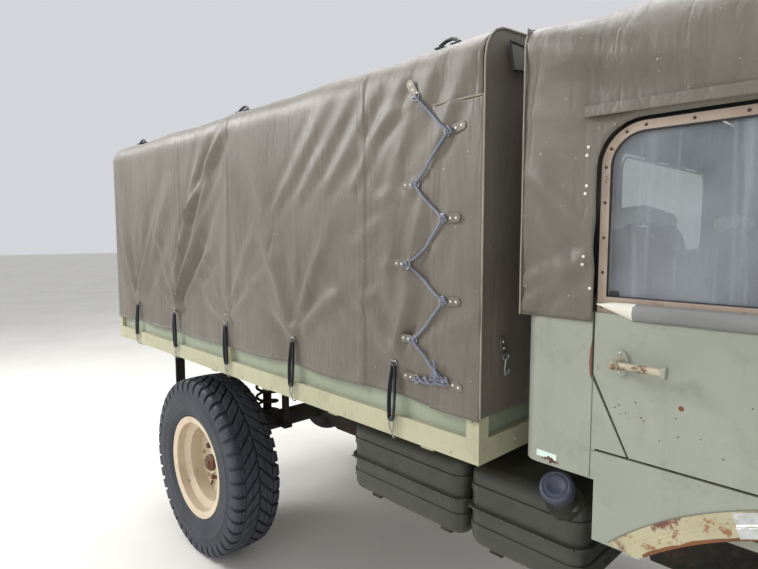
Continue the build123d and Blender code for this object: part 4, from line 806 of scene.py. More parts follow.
def cargo_front():
    """Front wall of the cover with the flaps that lap round its corners, and the piping on its edges."""
    half = COVER_HALF - CLOTH_T
    face = BED_FRONT + 0.007
    wall = []
    for y in crowded(half, 96):
        top = outline_top(y)
        column = []
        for j in range(61):
            v = j / 60
            z = COVER_LOW.z + HEM_LIFT + v * (top - COVER_LOW.z - HEM_LIFT)
            inward = min(1.0, (half - abs(y)) / 0.12) * min(1.0, (1 - v) / 0.12)
            folds = 0.010 * drift(y * 5, z * 0.8, 9.0) + 0.004 * drift(y * 13, z * 2.5, 2.0)
            column.append((face + inward * (folds - 0.006), y, z))
        wall.append(column)
    grids = [wall]
    for side in SIDES:
        grid = []
        for i in range(23):
            t = i / 22
            x = face - (LAP + 0.007) * t
            column = []
            for j in range(70):
                z = COVER_LOW.z + 0.003 + (LAP_TOP_Z - COVER_LOW.z) * j / 69
                loose = 0.004 * max(0.0, drift(z * 4, side, 4.0)) * smooth_step(t)
                y = side_y(min(x, BED_FRONT - 0.001), min(z, LAP_TOP_Z - 0.001), side, loose)
                column.append((x + 0.004 * drift(z * 3, 1.0, side) * t, y, z + hem_drop(x, z) - 0.004))
            grid.append(column)
        grids.append(grid[::-1] if side < 0 else grid)
    piece = sheet_mesh("cargo_front", grids, "cargo_canvas")
    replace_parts(piece, "cargo_cover")
    edge = Build()
    line = resample(girth_line(), 0.03)
    edge.tube([(BED_FRONT + 0.008, y * 1.0025, z + 0.002) for y, z in line], 0.0026, 8)
    z = LAP_TOP_Z - 0.004
    for side in SIDES:
        edge.tube([(BED_FRONT - back, side_y(BED_FRONT - back, z, side, 0.001), z)
                   for back in (0, 0.06, 0.12, LAP)], 0.0022, 6)
    edge.make("cargo_piping", "piping")


def cargo_curtain():
    """Rear curtain that hangs inside the gate."""
    half = COVER_HALF - 0.012
    face = BED_REAR + 0.040
    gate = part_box("tailgate")[1]
    bottom = gate.z - 0.035
    inside = max(0.0, gate.x + 0.010 - face)
    grid = []
    for y in crowded(half, 90):
        top = outline_top(y) - 0.012
        column = []
        for j in range(41):
            z = bottom + (top - bottom) * j / 40
            free = 1 - smooth_step((j / 40 - 0.75) / 0.25)
            folds = 0.016 * drift(y * 4.5, z * 0.5, 1.0) + 0.010 * drift(y * 11 + z * 1.4, z * 0.9, 4.0)
            folds *= free * min(1.0, (half - abs(y)) / 0.1)
            low = smooth_step((gate.z + 0.11 - z) / 0.09)
            column.append((face + folds * (1 - low) + low * (inside + abs(folds)), y, z))
        grid.append(column)
    piece = sheet_mesh("cargo_curtain", [grid], "cargo_canvas")
    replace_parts(piece, "cargo_cover")


# Tabs, rings, straps and the lacing; places as (X from the bed's front, Z)
LACE_LEFT = ((-0.231, 2.183), (-0.233, 1.929), (-0.250, 1.695), (-0.237, 1.467), (-0.234, 1.348))
LACE_RIGHT = ((-0.104, 2.067), (-0.116, 1.828), (-0.116, 1.596), (-0.104, 1.364))
TAB_W = 0.026
TAB_LENGTH = 0.057
TAB_T = 0.0022
RING_R = 0.0135
WIRE_R = 0.0024
ROPE_R = 0.0042


def tab_with_ring(tabs, rings, rivets, place):
    """Riveted tab whose ring sits at the placement's origin; the tab runs along X, its face is Z."""
    w = TAB_W / 2
    outline = [(0.004, -w * 0.8), (0.012, -w), (TAB_LENGTH - w, -w)]
    outline += [(TAB_LENGTH - w + w * math.sin(a), -w * math.cos(a)) for a in (0.4, 0.9, 1.57, 2.2, 2.7)]
    outline += [(TAB_LENGTH - w, w), (0.012, w), (0.004, w * 0.8)]
    tabs.plate(outline, place, TAB_T, 0.0008)
    tabs.tube([place @ Vector((0.003, s * w * 0.75, 0.003)) for s in (-1, -0.3, 0.3, 1)], 0.003, 8)
    for u in (0.022, 0.042):
        rivets.dome(place @ Vector((u, 0, 0.0018)), place.to_3x3() @ Vector((0, 0, 1)), 0.0042, 0.0020, 10)
    turn = np.linspace(0.15, math.pi - 0.15, 9)
    loop = [(0.001, -RING_R * 0.85)]
    loop += [(-RING_R * math.sin(a) * 1.15, -RING_R * math.cos(a)) for a in turn]
    loop += [(0.001, RING_R * 0.85)]
    rings.tube([place @ Vector((u, v, 0.0045)) for u, v in loop], WIRE_R, 8, closed=True)


def side_place(x, z, along, side, lift=0.001):
    """Placement on the cover's side, with X along a direction in the side's plane."""
    return facing((x, side_y(x, z, side, lift), z), (0, side, 0), (along[0], 0, along[1]))


def lacing(side):
    """Zig-zag rope through the rings on both edges of the lap, knotted at its foot."""
    tabs, rings, rivets, rope = (Build() for _ in range(4))
    for k, (dx, z) in enumerate(LACE_LEFT):
        along = (-0.55, 0.85) if k == 0 else (-1, 0.05)
        tab_with_ring(tabs, rings, rivets, side_place(BED_FRONT + dx, z, along, side))
    for (dx, z), tilt in zip(LACE_RIGHT, (0.22, 0.02, 0.02, -0.2)):
        tab_with_ring(tabs, rings, rivets, side_place(BED_FRONT + dx, z, (1, tilt), side))
    order = [LACE_LEFT[0]]
    for right, left in zip(LACE_RIGHT, LACE_LEFT[1:]):
        order += [right, left]
    stops = [Vector((BED_FRONT + dx, 0, z)) for dx, z in order]

    def over(p, lift):
        """A point moved onto the cloth and lifted off it."""
        return p.x, side_y(p.x, p.z, side, lift), p.z

    path = []
    for i in range(len(stops) - 2):
        for k in range(9):
            t = k / 9
            p = stops[i].lerp(stops[i + 1], t)
            bow = math.sin(math.pi * t)
            p.z -= 0.006 * bow
            p.x += 0.005 * bow * drift(i * 3.1, side, 0)
            path.append(over(p, 0.008))
    path.append(over(stops[-2], 0.008))
    rope.tube(path, ROPE_R, 10)
    for stop in stops[1:-1]:
        hitch = []
        for a in around(12):
            y = side_y(stop.x, stop.z, side, 0.008 + 0.004 * math.sin(2 * a))
            hitch.append((stop.x + 0.009 * math.cos(a), y, stop.z + 0.008 * math.sin(a)))
        rope.tube(hitch, ROPE_R * 0.85, 8, closed=True)
    a, b = stops[-2], stops[-1]
    for turn in (0, math.pi):
        strand = []
        for k in range(37):
            t = k / 36
            p = a.lerp(b, t)
            swing = 0.009 * math.sin(math.pi * t) ** 0.5
            phase = turn + t * 4 * math.pi
            x, y, z = over(p, 0.010 + 0.005 * math.cos(phase))
            strand.append((x, y, z + swing * math.sin(phase)))
        rope.tube(strand, ROPE_R * 0.9, 8)
    knot = Vector((a.x - 0.035, 0, a.z + 0.012))
    for k, tilt in enumerate((0.0, 1.0, 2.1)):
        wide = 0.013 * (0.5 + 0.5 * math.cos(tilt))
        rope.tube([(knot.x + wide * math.cos(u + tilt) + 0.003 * k,
                    side_y(knot.x, knot.z, side, 0.013 + 0.005 * math.sin(u * 2 + k)),
                    knot.z + 0.015 * math.sin(u)) for u in around(14)], ROPE_R * 0.85, 8, closed=True)
    tail = []
    for t in (0, 0.3, 0.6, 1.0):
        y = side_y(knot.x, knot.z, side, 0.014 + 0.004 * t)
        tail.append((knot.x + 0.004 - 0.006 * t, y, knot.z + 0.05 * t))
    rope.tube(tail, ROPE_R * 0.8, 8)
    for build, name, key in ((tabs, "tabs", "tab"), (rings, "rings", "zinc"),
                             (rivets, "rivets", "rivet"), (rope, "rope", "rope")):
        build.make(f"lace_{name}_{SIDES[side]}", key)


def ribbon(build, path, across, width, thickness):
    """A flat band along a path; across is the direction of its width."""
    across = Vector(across).normalized()
    path = [Vector(p) for p in path]
    rings = []
    for i, p in enumerate(path):
        ahead = (path[min(i + 1, len(path) - 1)] - path[max(i - 1, 0)]).normalized()
        normal = ahead.cross(across).normalized()
        w, t = across * width / 2, normal * thickness / 2
        rings.append([p - w - t, p + w - t, p + w + t, p - w + t])
    build.rings(rings)


def cover_straps(side):
    """Rubber straps from the cover's tabs to hooks under the rail."""
    tabs, rings, rivets, bands, hooks = (Build() for _ in range(5))
    foot_y = side * (BED_HALF_W + 0.012)
    top_z, foot_z = STRAP_TOP_Z - 0.012, HOOK_Z + 0.052
    for k, x in enumerate(STRAPS):
        lean = 0.012 * drift(k * 2.7, side, 0)
        tab_with_ring(tabs, rings, rivets, side_place(x, STRAP_TOP_Z, (0, 1), side))
        top_y = side_y(x, STRAP_TOP_Z, side, 0.006)
        for hand in (-1, 1):
            path = []
            for j in range(9):
                t = j / 8
                spread = hand * (0.004 + 0.008 * math.sin(math.pi * min(1.0, t * 0.85)))
                y = top_y + (foot_y - top_y) * t + side * 0.002 * math.sin(math.pi * t)
                path.append((x + spread + lean * t, y, top_z + (foot_z - top_z) * t))
            ribbon(bands, path, (0.35 * hand, side, 0), 0.013, 0.0045)
        for cx, y, z in ((x, top_y, top_z), (x + lean, foot_y, foot_z)):
            bands.tube([(cx - 0.008, y, z), (cx, y + side * 0.002, z), (cx + 0.008, y, z)], 0.0062, 8)
        cx = x + lean
        hook = ((0, 0, foot_z + 0.008), (-0.010, 0, foot_z - 0.012), (-0.006, 0, foot_z - 0.030),
                (0.004, 0, HOOK_Z + 0.006), (0.008, 0.004, HOOK_Z - 0.006), (0.006, 0.016, HOOK_Z - 0.010),
                (0.004, 0.022, HOOK_Z - 0.007))
        keeper = ((0, 0, foot_z + 0.008), (0.011, 0, foot_z - 0.010), (0.010, 0, foot_z - 0.026),
                  (0.002, 0, foot_z - 0.038))
        for wire in (hook, keeper):
            hooks.tube([(cx + dx, foot_y - side * back, z) for dx, back, z in wire], WIRE_R, 8)
    for build, name, key in ((tabs, "tabs", "tab"), (rings, "rings", "zinc"), (rivets, "rivets", "rivet"),
                             (bands, "bands", "strap_rubber"), (hooks, "hooks", "zinc")):
        build.make(f"strap_{name}_{SIDES[side]}", key)


# On the front wall: the hanging ring, a vent flap's corners, and the roof's loops with their shape
FRONT_RING = ((0.008, 0.945, 1.435), (0.012, 0.957, 1.410), (0.010, 0.950, 1.390),
              (0.010, 0.936, 1.392), (0.010, 0.932, 1.404))
VENT_FLAP = ((0.950, 2.299), (0.804, 2.300), (0.810, 2.236), (0.949, 2.222))
BOX_FACES = ((0, 1, 2, 3), (7, 6, 5, 4), (0, 4, 5, 1), (1, 5, 6, 2), (2, 6, 7, 3), (3, 7, 4, 0))
ROOF_LOOPS = (-2.53, -1.355, -0.185)
ROOF_LOOP_Y = 0.955
ROOF_LOOP = ((-0.040, 0.004, 0.002), (-0.034, 0.0, 0.012), (-0.016, -0.004, 0.021),
             (0.004, -0.005, 0.023), (0.024, -0.003, 0.016), (0.038, 0.003, 0.004))


def front_wall_fittings():
    """Ring on each side of the cover's front wall, vent flaps under the roof, and loops on the roof."""
    tabs, rings, rivets, flaps, edges, loops = (Build() for _ in range(6))
    x = BED_FRONT + 0.012
    for side in SIDES:
        place = facing((x, side * 0.942, 1.443), (1, 0, 0), (0, side * 0.25, 1))
        tab_with_ring(tabs, rings, rivets, place)
        rings.tube([(x + dx, side * y, z) for dx, y, z in FRONT_RING], 0.003, 8)
        corners = [(side * y, z, 0.012 * (z < 2.26)) for y, z in VENT_FLAP]
        if side > 0:
            corners = corners[::-1]
        flaps.add([(x + lift + off, y, z) for lift in (0.004, 0.001) for y, z, off in corners], BOX_FACES)
        edges.tube([(x + 0.005 + off, y, z) for y, z, off in corners], 0.003, 6, closed=True)
        z = outline_top(ROOF_LOOP_Y) + 0.001
        for dx in ROOF_LOOPS:
            middle = BED_FRONT + dx
            loops.tube([(middle + u, side * (ROOF_LOOP_Y + v), z + h) for u, v, h in ROOF_LOOP], 0.0055, 8)
            for u in (-0.030, 0.030):
                place = facing((middle + u, side * 0.958, z), (0, side * 0.14, 1), (1, 0, 0))
                loops.plate(rounded(0.032, 0.036, 0.006), place, 0.004, 0.001)
    tabs.make("front_ring_tabs", "tab")
    rings.make("front_rings", "zinc")
    rivets.make("front_ring_rivets", "rivet")
    piece = flaps.make("vent_flaps", "cargo_canvas", smooth=20)
    edges.make("vent_flap_edges", "strap_rubber")
    loops.make("roof_loops", "strap_rubber")


# The cab's soft top, its folds written like the cargo cover's
CAB_FOLDS = (
    (0.14, 2.26, 0.62, 2.11, 0.040, 0.010),
    (0.16, 2.20, 0.40, 2.14, 0.030, 0.006),
    (0.12, 2.08, 0.27, 2.06, 0.014, 0.004),
    (0.135, 1.93, 0.29, 1.76, 0.022, 0.006),
    (0.115, 1.66, 0.29, 1.745, 0.018, 0.005),
    (0.262, 1.71, 0.11, 1.60, 0.018, 0.005),
    (0.14, 1.86, 0.24, 1.64, 0.020, 0.004),
    (0.45, 2.22, 0.95, 2.12, 0.040, 0.007),
)
CAB_COVER_BOTTOM = CAB_LOW.z + 0.002
CAB_COVER_FRONT = CAB_HIGH.x
DOOR_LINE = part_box("window_frame_right")[0].x - 0.0055
DOORWAY_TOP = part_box("window_frame_right")[1].z + 0.007
DOORWAY_R = 0.100
CAB_ROOF_REAR = 2.305
CAB_ROOF_FRONT = 2.158
CAB_ROOF_BEND = CAB_LOW.x + 0.52
CAB_CROWN = 0.022
CAB_FOLD_GAIN = 1.6
BACK_PANE_HALF = 0.42
BACK_PANE_Z = (1.72, 2.04)
RAIN_Z = 2.064
RAIN_FALL = 0.012
RAIN_STRIP = ((0, -0.011), (0.010, -0.013), (0.011, -0.009), (0.005, 0.006), (0.003, 0.013), (0, 0.013))
QUARTER_RIVETS = ((0.271, 1.985), (0.268, 1.966), (0.270, 1.896), (0.267, 1.878), (0.270, 1.731),
                  (0.266, 1.712), (0.284, 1.656))
LOW_ROWS = 22
HIGH_ROWS = 110


def cab_fold_height(x, z):
    """Folds of the soft top's quarters."""
    total = 0.0
    for x0, z0, x1, z1, width, depth in CAB_FOLDS:
        start, end = Vector((x0, z0)), Vector((x1, z1))
        line = end - start
        t = (Vector((x, z)) - start).dot(line) / line.length_squared
        if -0.2 < t < 1.2:
            near = start + line * t
            d = (Vector((x, z)) - near).length / width
            along = smooth_step((t + 0.2) / 0.4) * smooth_step((1.2 - t) / 0.4)
            ridge = math.exp(-d * d) - 0.4 * math.exp(-((d - 1.8) ** 2) * 1.2)
            total += CAB_FOLD_GAIN * depth * along * ridge
    return total


def cab_section(x):
    """Cross-section of the soft top at a place along it: half width, roof height, corner radius."""
    t = (x - CAB_LOW.x) / (CAB_COVER_FRONT - CAB_LOW.x)
    half = CAB_HALF_W + 0.006 - 0.020 * max(0.0, (t - 0.45) / 0.55)
    places = (CAB_LOW.x, CAB_ROOF_BEND, CAB_COVER_FRONT)
    top = float(np.interp(x, places, (CAB_ROOF_REAR - 0.005, CAB_ROOF_REAR, CAB_ROOF_FRONT)))
    corner = float(np.interp(x, places, (0.05, 0.11, 0.10)))
    return half, top, corner


def cab_outline(x, foot_z, corner_steps, roof_steps, grow=0.0):
    """The section as (y, z) pairs from the right foot over the roof to the left, grown by a little."""
    half, top, r = cab_section(x)
    line = [(-half, z) for z in foot_z]
    line += [(-half + r - (r + grow) * math.cos(a), top - r + (r + grow) * math.sin(a))
             for a in np.linspace(0, math.pi / 2 - 0.03, corner_steps)[1:]]
    line += [(y, top + CAB_CROWN * (1 - (y / (half - r)) ** 2) + grow)
             for y in np.linspace(-half + r, 0, roof_steps)[1:]]
    return line + [(-y, z) for y, z in line[-2::-1]]


def doorway_edge(x):
    """Lower edge of the soft top at a place along it."""
    if x <= DOOR_LINE:
        return DOORWAY_TOP - DOORWAY_R
    if x < DOOR_LINE + DOORWAY_R:
        dx = DOOR_LINE + DOORWAY_R - x
        return DOORWAY_TOP - DOORWAY_R + math.sqrt(max(0.0, DOORWAY_R ** 2 - dx ** 2))
    return DOORWAY_TOP


def cab_cloth_point(x, y, z, out_y, out_z):
    """A point of the soft top, moved outwards by its folds, or down where the roof sags."""
    local = x - BED_FRONT
    off = cab_fold_height(local, z) if abs(y) > CAB_HALF_W - 0.06 else 0.0
    off += 0.005 * drift(local * 4, z * 3, y * 2) + 0.002 * drift(local * 12, z * 8, y * 5)
    if abs(y) < CAB_HALF_W - 0.06:
        t = (x - CAB_LOW.x) / (CAB_COVER_FRONT - CAB_LOW.x)
        off -= 0.012 * math.sin(math.pi * min(1.0, max(0.0, t)))
    return (x, y + out_y * off, z + out_z * off)


def cab_columns():
    """X values of the grid, with the doorway's round corner among them."""
    values = list(np.linspace(CAB_LOW.x + 0.002, DOOR_LINE, 19))
    values += [DOOR_LINE + DOORWAY_R * (1 - math.cos(a)) for a in np.linspace(0, math.pi / 2, 9)[1:]]
    values += list(np.linspace(DOOR_LINE + DOORWAY_R, CAB_COVER_FRONT, 56)[1:])
    return values


def cab_cover():
    """Quarters and roof of the soft top in one cloth."""
    upper, lower = [], {-1: [], 1: []}
    for x in cab_columns():
        half, top, r = cab_section(x)
        edge = doorway_edge(x)
        line = resample(cab_outline(x, (edge, top - r), 9, 20), count=HIGH_ROWS)
        upper.append([cab_cloth_point(x, *point, *way) for point, way in zip(line, outward(line))])
        if x <= DOOR_LINE + 1e-6:
            for side in SIDES:
                heights = np.linspace(CAB_COVER_BOTTOM, edge, LOW_ROWS + 1)
                lower[side].append([cab_cloth_point(x, side * half, z, side, 0) for z in heights])
    piece = sheet_mesh("cab_canvas_top", [upper, lower[-1], lower[1][::-1]], "cab_canvas")
    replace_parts(piece, "cab_cover")


def cab_back():
    """Back wall of the soft top with its clear pane, and the piping round both."""
    half, top, r = cab_section(CAB_LOW.x)
    low, high = BACK_PANE_Z
    ys = sorted({*np.linspace(-half + 0.004, half - 0.004, 61), -BACK_PANE_HALF, BACK_PANE_HALF})
    zs = sorted({*np.linspace(CAB_COVER_BOTTOM, top, 31), low, high})
    x = CAB_LOW.x + 0.004
    points, faces = [], []
    for y in ys:
        rim = top + CAB_CROWN * (1 - (y / half) ** 2) - 0.004
        points += [(x + 0.004 * drift(y * 5, z * 4, 3.0), y, min(z, rim)) for z in zs]
    n = len(zs)
    for i in range(len(ys) - 1):
        for j in range(n - 1):
            y, z = (ys[i] + ys[i + 1]) / 2, (zs[j] + zs[j + 1]) / 2
            if abs(y) > BACK_PANE_HALF or not low < z < high:
                faces.append((i * n + j, (i + 1) * n + j, (i + 1) * n + j + 1, i * n + j + 1))
    mesh = bpy.data.meshes.new("cab_canvas_back")
    mesh.from_pydata(points, [], faces)
    back = thicken(finish_piece(mesh, "cab_canvas_back", "cab_canvas", smooth=50))
    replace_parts(back, "cab_cover")
    clear, edging = Build(), Build()
    place = facing((x, 0, (low + high) / 2), (-1, 0, 0), (0, 1, 0))
    clear.plate(rounded(2 * BACK_PANE_HALF + 0.02, high - low + 0.02, 0.05), place, 0.001)
    loop = rounded(2 * BACK_PANE_HALF, high - low, 0.05, 6)
    edging.tube([place @ Vector((u, v, -0.001)) for u, v in loop], 0.004, 8, closed=True)
    clear.make("cab_back_pane", "vinyl")
    walls = np.linspace(CAB_COVER_BOTTOM, top - r, 14)
    seam = cab_outline(CAB_LOW.x, walls, 6, 12, 0.002)
    for k, z in enumerate(walls):
        y = -half - 0.002 + 0.0015 * drift(z * 9, 0, 0)
        seam[k] = (y, z)
        seam[-1 - k] = (-y, z)
    edging.tube([(CAB_LOW.x + 0.001, y, z) for y, z in seam], 0.0022, 8)
    edging.make("cab_canvas_piping", "piping")


def cab_canvas_trim():
    """Rain strips over the doors, their ridges and seals, and rivets in the quarters."""
    strips, rivets, stitch = Build(), Build(), Build()
    x0, x1 = BED_FRONT + 0.263, CAB_COVER_FRONT - 0.01
    for side, hand in SIDES.items():
        rings = []
        for i in range(25):
            t = i / 24
            x = x0 + (x1 - x0) * t
            y = side * (cab_section(x)[0] + 0.004)
            rings.append([(x, y + side * out, RAIN_Z - RAIN_FALL * t + up) for out, up in RAIN_STRIP])
        strips.rings(rings)
        for row, reach in ((0.009, 0.0045), (0.003, 0.0068), (-0.003, 0.0088)):
            ridge = []
            for i in range(40):
                x = x0 + (x1 - x0) * i / 39
                ridge.append((x, side * (cab_section(x)[0] + reach), RAIN_Z - RAIN_FALL * i / 39 + row))
            stitch.tube(ridge, 0.0010, 6)
        for dx, z in QUARTER_RIVETS:
            half = cab_section(BED_FRONT + dx)[0]
            point = cab_cloth_point(BED_FRONT + dx, side * half, z, side, 0)
            rivets.dome(Vector(point) + Vector((0, side * 0.0005, 0)), (0, side, 0), 0.0042, 0.0022, 12)
        seal = Build()
        xs = np.linspace(DOOR_LINE + 0.02, CAB_COVER_FRONT - 0.015, 30)
        y = side * (min(abs(v.y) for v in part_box(f"window_frame_{hand}")) - 0.009)
        ribbon(seal, [(x, y, doorway_edge(x) - 0.001) for x in xs], (0, 0, 1), 0.030, 0.003)
        seal.make(f"door_seal_{hand}", "strap_rubber")
    strips.make("rain_strips", "cab_canvas")
    stitch.make("rain_strip_ridges", "piping")
    rivets.make("quarter_rivets", "rivet")


# Doors, windows and the cab's small parts
# Places on the door's outer face, as (X, Z), and the vinyl strip under the window
LEVER = (BED_FRONT + 0.361, 1.490)
LEVER_TIP = BED_FRONT + 0.466
CATCH = (BED_FRONT + 0.333, 1.646)
SKIRT_TOP_Z, SKIRT_FOOT_Z = 1.627, 1.588
SKIRT_BULGE = 0.009


def door_body(side):
    return f"door_{SIDES[side]}_body"


def window_trim(side):
    """Screws round the window frame, the rubber bead of the pane and the latch tongue."""
    name = SIDES[side]
    low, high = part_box(f"window_frame_{name}")
    face = (low if side < 0 else high).y
    bar, lean, r = 0.020, 0.048, 0.095
    middle = bar / 2
    x0, x1 = low.x + middle, high.x - middle
    z0, z1 = low.z + 0.014, high.z - middle
    corner = r - middle
    path = [(x0, z) for z in np.linspace(z0, z1 - corner, 5)]
    path += [(x0 + corner - corner * math.cos(a), z1 - corner + corner * math.sin(a)) for a in (0.5, 1.07)]
    path += [(x, z1) for x in np.linspace(x0 + corner, x1 - lean - 0.03, 7)]
    path += [(x1 - lean * (z - low.z) / (high.z - low.z), z) for z in np.linspace(z1 - 0.05, z0, 4)]
    path += [(x, z0) for x in np.linspace(x1 - 0.07, x0 + 0.06, 8)]
    screws = Build()
    for x, z in path:
        screws.dome((x, face, z), (0, side, 0), 0.0038, 0.0016, 12)
    screws.make(f"window_screws_{name}", "frame_screw", door_body(side))
    inset = bar + 0.001
    ri = r - inset
    xi0, xi1 = low.x + inset, high.x - inset
    zi0, zi1 = low.z + 0.038, high.z - inset
    loop = [(xi0, zi0), (xi0, zi1 - ri)]
    loop += [(xi0 + ri - ri * math.cos(a), zi1 - ri + ri * math.sin(a))
             for a in np.linspace(0, math.pi / 2, 8)[1:]]
    slant = lean * (zi1 - low.z) / (high.z - low.z)
    loop += [(xi1 - slant - 0.03, zi1), (xi1 - slant - 0.008, zi1 - 0.008), (xi1 - slant * 0.9, zi1 - 0.03)]
    loop += [(xi1 - lean * (zi0 - low.z) / (high.z - low.z), zi0)]
    bead = Build()
    bead.tube([(x, face - side * 0.004, z) for x, z in loop], 0.0032, 8, closed=True)
    bead.make(f"window_bead_{name}", "strap_rubber", door_body(side))
    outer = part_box(f"window_glass_{name}")[0 if side < 0 else 1].y
    catch = Build()
    place = facing((CATCH[0], outer, CATCH[1]), (0, side, 0), (1, 0, 0))
    catch.plate(rounded(0.022, 0.013, 0.006), place, 0.0015, 0.0004)
    catch.make(f"pane_catch_{name}", "black_plastic", door_body(side))


def door_skirt(side):
    """Vinyl strip along the foot of the window, its rear corner folded up to the pale underside."""
    name = SIDES[side]
    face = side * (CAB_HALF_W + 0.0015)
    rear, fold, front = BED_FRONT + 0.301, BED_FRONT + 0.385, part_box(f"door_{name}")[1].x - 0.012

    def strip(piece_name, key, x0, x1, count, white):
        rings = []
        for i in range(count + 1):
            t = i / count
            x = x0 + (x1 - x0) * t
            wave = 0.0018 * drift(x * 9, side * 2.0, 0)
            top, bottom, out = SKIRT_TOP_Z, SKIRT_FOOT_Z + wave, SKIRT_BULGE
            if white:
                top = 1.6215 + 0.0055 * smooth_step(t * 2)
                bottom, out = 1.6195 - 0.0315 * t, 0.002 + 0.007 * t
            ring = [(x, face - side * 0.006, top)]
            for v in (0.12, 0.3, 0.55, 0.8, 1.0):
                bulge = out * math.sin(math.pi * v) ** 0.8 + 0.001 + wave * 0.5
                ring.append((x, face + side * bulge, top + (bottom - top) * v))
            ring += [(x, face - side * 0.0002, bottom), (x, face - side * 0.001, (top + bottom) / 2)]
            rings.append(ring)
        build = Build()
        build.rings(rings)
        piece = build.make(f"{piece_name}_{name}", key, door_body(side), 60)

    strip("door_skirt", "skirt", fold, front, 44, False)
    strip("door_skirt_fold", "skirt_white", rear, fold + 0.003, 12, True)


# The wheel arch: its centre, the radii of the lip's rim and of its fold, and the band's outer radius
ARCH = Vector((BED_FRONT + 0.915, 0, 0.495))
ARCH_RIM = 0.7405
ARCH_FOLD = 0.765
ARCH_OUTER = 0.795
RUST_SPOTS = (
    (0.492, 1.412), (0.361, 1.391), (0.377, 1.376), (0.411, 1.372), (0.417, 1.367), (0.483, 1.388),
    (0.489, 1.349), (0.366, 1.371), (0.352, 1.383), (0.398, 1.405), (0.532, 1.355), (0.451, 1.330),
    (0.620, 1.441), (0.575, 1.325))
PANEL_SEAM_X, PANEL_SEAM_Z = 0.296, 1.2665
ARCH_START, ARCH_TURN = 135.5, 87
SEAM_RUST_X = 0.2935
SEAM_RUST = ((1.535, 0.001), (1.510, 0.005), (1.480, 0.007), (1.452, 0.005), (1.440, 0.001))
STAIN = ((0.188, 1.2145, 0.0050), (0.196, 1.2105, 0.0070), (0.180, 1.2110, 0.0042), (0.171, 1.2100, 0.0026),
         (0.205, 1.2080, 0.0045), (0.193, 1.2035, 0.0030), (0.213, 1.2065, 0.0022))


def arch_top(angle):
    """Outer radius of the painted band round the wheel arch, kept below the door."""
    return min(ARCH_OUTER, ARCH_FOLD / math.sin(angle))


def arch_height(radius):
    """How far the wing's lip stands off the panel at a distance from the wheel's axis."""
    return 0.0098 - 0.0084 * smooth_step((radius - ARCH_FOLD) / 0.004)


def on_circle(centre, radius, angle, y):
    """A point round an axis that runs across the truck."""
    return (centre.x + radius * math.cos(angle), y, centre.z + radius * math.sin(angle))


def arch_band(band, edge, rust, side):
    """The painted band, the dark line round it, and the rusty rim of the lip."""
    face = side * CAB_HALF_W
    rings, outer, rim = [], [], []
    for i in range(73):
        a = math.radians(ARCH_START - ARCH_TURN * i / 72)
        inner = max(ARCH_RIM, 0.5535 / math.sin(a))
        top = max(inner + 0.0006, arch_top(a))
        radii = [max(inner, r) for r in (ARCH_RIM, 0.752, 0.7652, 0.769)] + [top - 0.0004, top]
        ring = [(inner, 0.0002)] + [(min(r, top), arch_height(r) if r < top else 0.0002) for r in radii]
        rings.append([on_circle(ARCH, r, a, face + side * y) for r, y in ring])
        outer.append(on_circle(ARCH, top + 0.001, a, face + side * 0.0008))
        if inner < ARCH_RIM + 0.0001:
            wide = ARCH_RIM + 0.0065 + 0.004 * drift(i * 0.45, side, 0)
            lip = ((0.7400, 0.002), (0.7400, 0.0102), (wide, 0.0106), (wide, 0.002))
            rim.append([on_circle(ARCH, r, a, face + side * y) for r, y in lip])
    band.rings(rings)
    edge.tube(outer, 0.0016, 6)
    rust.rings(rim)


